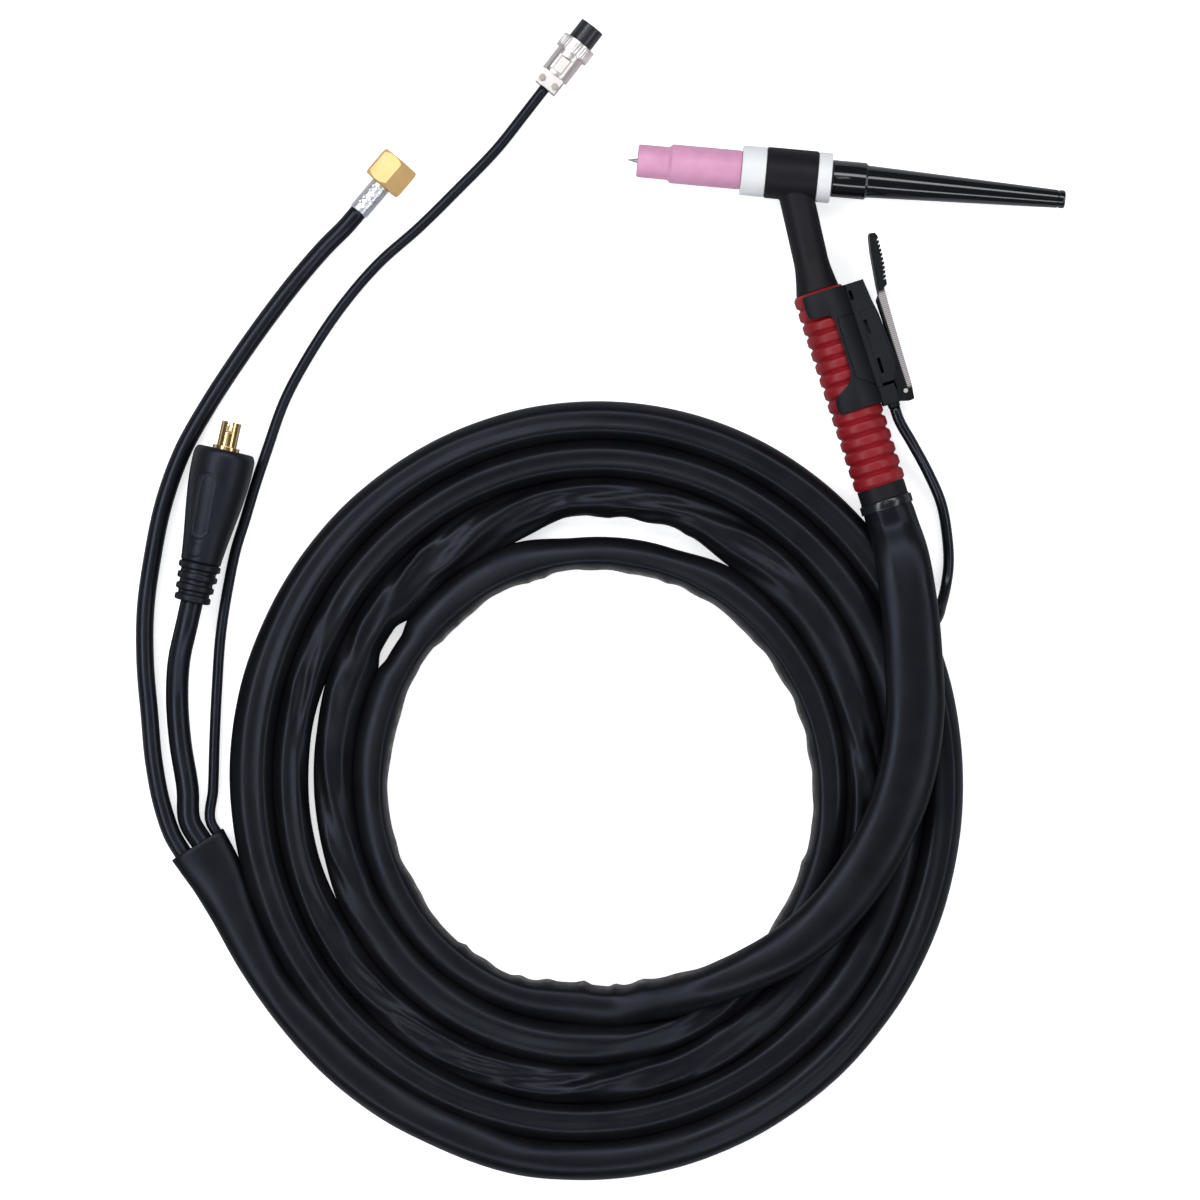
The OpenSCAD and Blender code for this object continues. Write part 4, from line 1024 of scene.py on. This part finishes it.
copies = [
    ("switch_housing", 0.0005, "root", "switch_plastic", "switchPlastic"),
    ("switch_cover", 0.0004, "root", "switch_plastic", "switchPlastic"),
    ("lead_clamp", 0.0005, "root", "switch_plastic", "switchPlastic"),
    ("switch_lever", 0.0004, "lever", "lever_plastic", "leverPlastic"),
    ("gas_nut", 0.0003, "nut", "brass", "nutBrass"),
    ("plug_pin", 0.00025, "root", "brass", "pinBrass"),
    ("connector_clamp", 0.0007, "root", "nickel", "nickelPlate"),
    ("connector_screws", 0.0002, "root", "nickel", "screwSteel"),
    ("connector_shell", 0.00015, "root", "nickel", "nickelPlate"),
    ("connector_ring", 0.0003, "coupling_ring", "nickel", "nickelPlate"),
    ("connector_insert", 0.0003, "root", "insert_black", "insertBlack"),
]
for node, width, body, slot, finish in copies:
    piece = roundedCopy(node + "_shaped", node, width)
    if node in ("switch_housing", "switch_cover"):
        cutWindows(piece)
        evenShade(piece)
    finishPiece(piece, body, finish, [node])

shellPanel = {"from": 0.0090, "to": 0.0168, "half": 0.0027, "low": 0.0050, "high": 0.00592,
              "edge": 0.0005, "step": 0.00008}


def makeShellPanel(name, edge, high, finish):  # the blank flat on top of the connector's shell
    half = shellPanel["half"] - edge
    start, end = shellPanel["from"] + edge, shellPanel["to"] - edge
    corners = [(start, -half), (end, -half), (end, half), (start, half)]
    piece = cutPiece(name, corners, shellPanel["low"], high, "connector")
    bevelEdges(piece, 0.00012, 2)
    return finishPiece(evenShade(piece), "root", finish)


# a darker plate under the flat's edge: a painted dark reflection round the flat
shellReflectionRim = makeShellPanel("connector_shell_reflection_rim", 0, shellPanel["high"] - shellPanel["step"],
                           "screwSteel")
shellFlat = makeShellPanel("connector_shell_flat", shellPanel["edge"], shellPanel["high"],
                           "nickelPlate")
print("switch and fittings rounded")

# Gas hose ferrule with its rows of crimp dents
ferrule = {"start": -0.01625, "end": -0.0001, "radius": 0.0047, "bore": 0.00355, "dent": 0.0003}


def makeFerrule():
    start, end, bore, outer = (ferrule[key] for key in ("start", "end", "bore", "radius"))
    outline = [(start, bore), (start, outer - 0.0004), (start + 0.0004, outer)]
    steps = 44
    outline += [(start + 0.0006 + (end - start - 0.0012) * i / steps, outer)
                for i in range(steps + 1)]
    outline += [(end - 0.0004, outer), (end, outer - 0.0004), (end, bore), (start, bore)]
    piece = turnedPiece("hose_ferrule_crimped", outline, "gas", 96)

    def dented(along, angle, radius):
        if radius < outer - 0.0005:
            return radius
        row = (along - start - 0.002) / 0.0034
        inRow = math.cos(2 * math.pi * row) if 0 <= row <= 3.6 else 1.0
        turn = math.cos(8 * angle + math.pi * math.floor(row + 0.5))
        deep = smoothStep(0.1, 0.9, -inRow * 0.5 + 0.5) * smoothStep(-0.2, 0.9, turn)
        waist = smoothStep(0.0, 0.002, along - start) * smoothStep(0.0, 0.002, end - along)
        return radius - ferrule["dent"] * deep * waist

    moveRadially(piece, "gas", dented)
    smoothShade(piece, 40)
    return finishPiece(piece, "root", "crimpSteel", ["hose_ferrule"])


# Power plug's sleeve: tapered, with a blank raised panel, a disc and a ribbed foot
sleeve = {"length": 0.0716, "wide": 0.0143, "shoulder": 0.0647, "waist": 0.020,
          "waistRadius": 0.0094, "ribsTo": 0.0186, "foot": 0.0077, "top": 0.0120,
          "bore": 0.00625, "raise": 0.0005, "panelFrom": 0.029, "panelTo": 0.060,
          "panelHalf": 0.0048, "discAt": 0.0238, "discRadius": 0.0032, "turn": math.radians(16)}


def sleeveRadius(along):
    foot, waist, low = sleeve["foot"], sleeve["waist"], sleeve["waistRadius"]
    if along < sleeve["ribsTo"]:  # four stepped ribs
        number = int(along / 0.005)
        within = along - 0.005 * number
        swell = smoothStep(0.0, 0.0006, within) * (1 - smoothStep(0.0028, 0.0034, within))
        return foot - 0.0004 + 0.00045 * number + 0.0011 * swell
    if along < waist:
        return foot + (low - foot) * (along / waist)
    share = smoothStep(-0.25, 1.0, (along - waist) / (sleeve["shoulder"] - waist))
    base = smoothStep(-0.25, 1.0, 0.0)
    return low + (sleeve["wide"] - low) * (share - base) / (1 - base)


def makeSleeve():
    length, shoulder, bore = sleeve["length"], sleeve["shoulder"], sleeve["bore"]
    outline = [(0.0, 0.001), (0.0, sleeve["foot"] - 0.0008)]
    steps = 150
    outline += [(shoulder * i / steps, sleeveRadius(shoulder * i / steps))
                for i in range(1, steps + 1)]
    rest = length - shoulder
    drop = sleeve["wide"] - sleeve["top"]
    for i in range(1, 13):  # rounded shoulder
        turn = math.pi / 2 * i / 12
        outline.append((shoulder + rest * (0.35 + 0.65 * math.sin(turn)),
                        sleeve["wide"] - drop * (1 - math.cos(turn))))
    outline += [(length, bore), (0.0005, bore), (0.0005, 0.001), (0.0, 0.001)]
    piece = turnedPiece("plug_sleeve_moulded", outline, "plug", 176)
    half = sleeve["panelHalf"]

    def raised(along, angle, radius):
        if radius < sleeve["foot"] - 0.0012 or along < 0.0188:
            return radius
        across = (angle - sleeve["turn"]) * radius
        nearest = min(max(along, sleeve["panelFrom"] + half), sleeve["panelTo"] - half)
        off = math.hypot(across, along - nearest)
        panel = 1 - smoothStep(half - 0.0005, half, off)
        sunk = 1 - smoothStep(half - 0.0016, half - 0.001, off)
        disc = math.hypot(across, along - sleeve["discAt"])
        button = 1 - smoothStep(sleeve["discRadius"] - 0.0006, sleeve["discRadius"], disc)
        return radius + sleeve["raise"] * max(panel - 0.55 * sunk, button)

    moveRadially(piece, "plug", raised)
    smoothShade(piece, 45)
    return finishPiece(piece, "root", "plugRubber", ["plug_sleeve"])


ferrulePiece = makeFerrule()
sleevePiece = makeSleeve()
print("ferrule and plug sleeve made")

# Carried-over CAD nodes get their finishes
carried = {
    "tungsten_electrode": "tungstenGrey", "collet_body": "innerBrass", "collet": "innerCopper",
    "head_core": "innerBrass", "cap_seal": "cableRubber", "neck_tube": "innerBrass",
    "power_adaptor": "innerBrass", "inner_conductor": "cableRubber", "inner_hose": "cableRubber",
    "micro_switch": "switchGrey", "switch_plunger": "buttonRed", "lever_pin": "nickelPlate",
    "gas_nipple": "nutBrass", "cable_lug": "innerCopper", "connector_contacts": "innerBrass",
}
for node, finish in carried.items():
    for materialSlot in frame["nodes"][node].material_slots:
        materialSlot.material = materials[finish]

print("carried nodes finished")

# Floor and soft studio light
studio = {"floorSize": 6.0, "floorDrop": -0.0006, "world": (0.80, 0.86, 1.0), "worldStrength": 0.11,
          "floorGlow": 0.6}
lamps = [  # name, place, size, watts, colour
    ("key", (-0.10, 0.80, 1.45), (2.4, 0.45), 16.0, (0.95, 0.97, 1.0)),
    ("fill", (-0.10, -1.20, 1.40), (2.4, 0.30), 11.0, (0.93, 0.96, 1.0)),
    ("left", (-1.05, -0.10, 1.35), (1.5, 0.4), 11.0, (0.93, 0.96, 1.0)),
    ("right", (1.20, -0.10, 1.20), (1.5, 0.4), 7.0, (0.93, 0.96, 1.0)),
    ("over", (-0.28, 0.33, 2.45), (0.8, 0.5), 1.9, (1.0, 0.99, 0.97)),
]


def makeFloor():
    deselectAll()
    bpy.ops.mesh.primitive_plane_add(size=studio["floorSize"], location=(0, 0, 0))
    floor = bpy.context.object
    floor.name = "studio_floor"
    floor.data.transform(Matrix.Translation((0, 0, studio["floorDrop"])))
    material, tree, shader = startMaterial("paleFloor")
    color = useEffect(tree, "tint", {
        "Vector": vectorAt(tree), "Base": (0.95, 0.95, 0.95, 1), "Shade": (0.93, 0.93, 0.94, 1),
        "Scale": 2.0, "Amount": 0.5})
    ray = addNode(tree, "LightPath").outputs
    fillInputs(tree, shader, {
        # glossy rays see the floor painted darker grey: painted shade in the reflections on the parts'
        # edges
        "Base Color": mixColors(tree, ray["Is Glossy Ray"], color, (0.50, 0.50, 0.51, 1)),
        "Emission Color": mixColors(tree, ray["Is Camera Ray"], (0, 0, 0, 1), (1, 1, 1, 1)),
        "Emission Strength": studio["floorGlow"], "Roughness": 0.9, "Specular IOR Level": 0.1})
    floor.data.materials.append(material)


def makeLamps():
    target = Vector((-0.09, -0.13, 0))
    for name, place, size, watts, color in lamps:
        lamp = bpy.data.lights.new(name, "AREA")
        lamp.shape = "RECTANGLE"
        lamp.size, lamp.size_y = size
        lamp.energy = watts
        lamp.color = color
        holder = addObject(name, lamp)
        holder.location = place
        aim = target - Vector(place)
        holder.rotation_euler = aim.to_track_quat("-Z", "Y").to_euler()
        holder.visible_camera = False


def makeWorld():
    world = bpy.data.worlds.new("studio")
    world.use_nodes = True
    back = world.node_tree.nodes["Background"]
    back.inputs["Color"].default_value = opaque(studio["world"])
    back.inputs["Strength"].default_value = studio["worldStrength"]
    bpy.context.scene.world = world
    bpy.context.scene.view_settings.view_transform = "Standard"


makeFloor()
makeLamps()
makeWorld()
print("studio set")

bpy.context.view_layer.update()
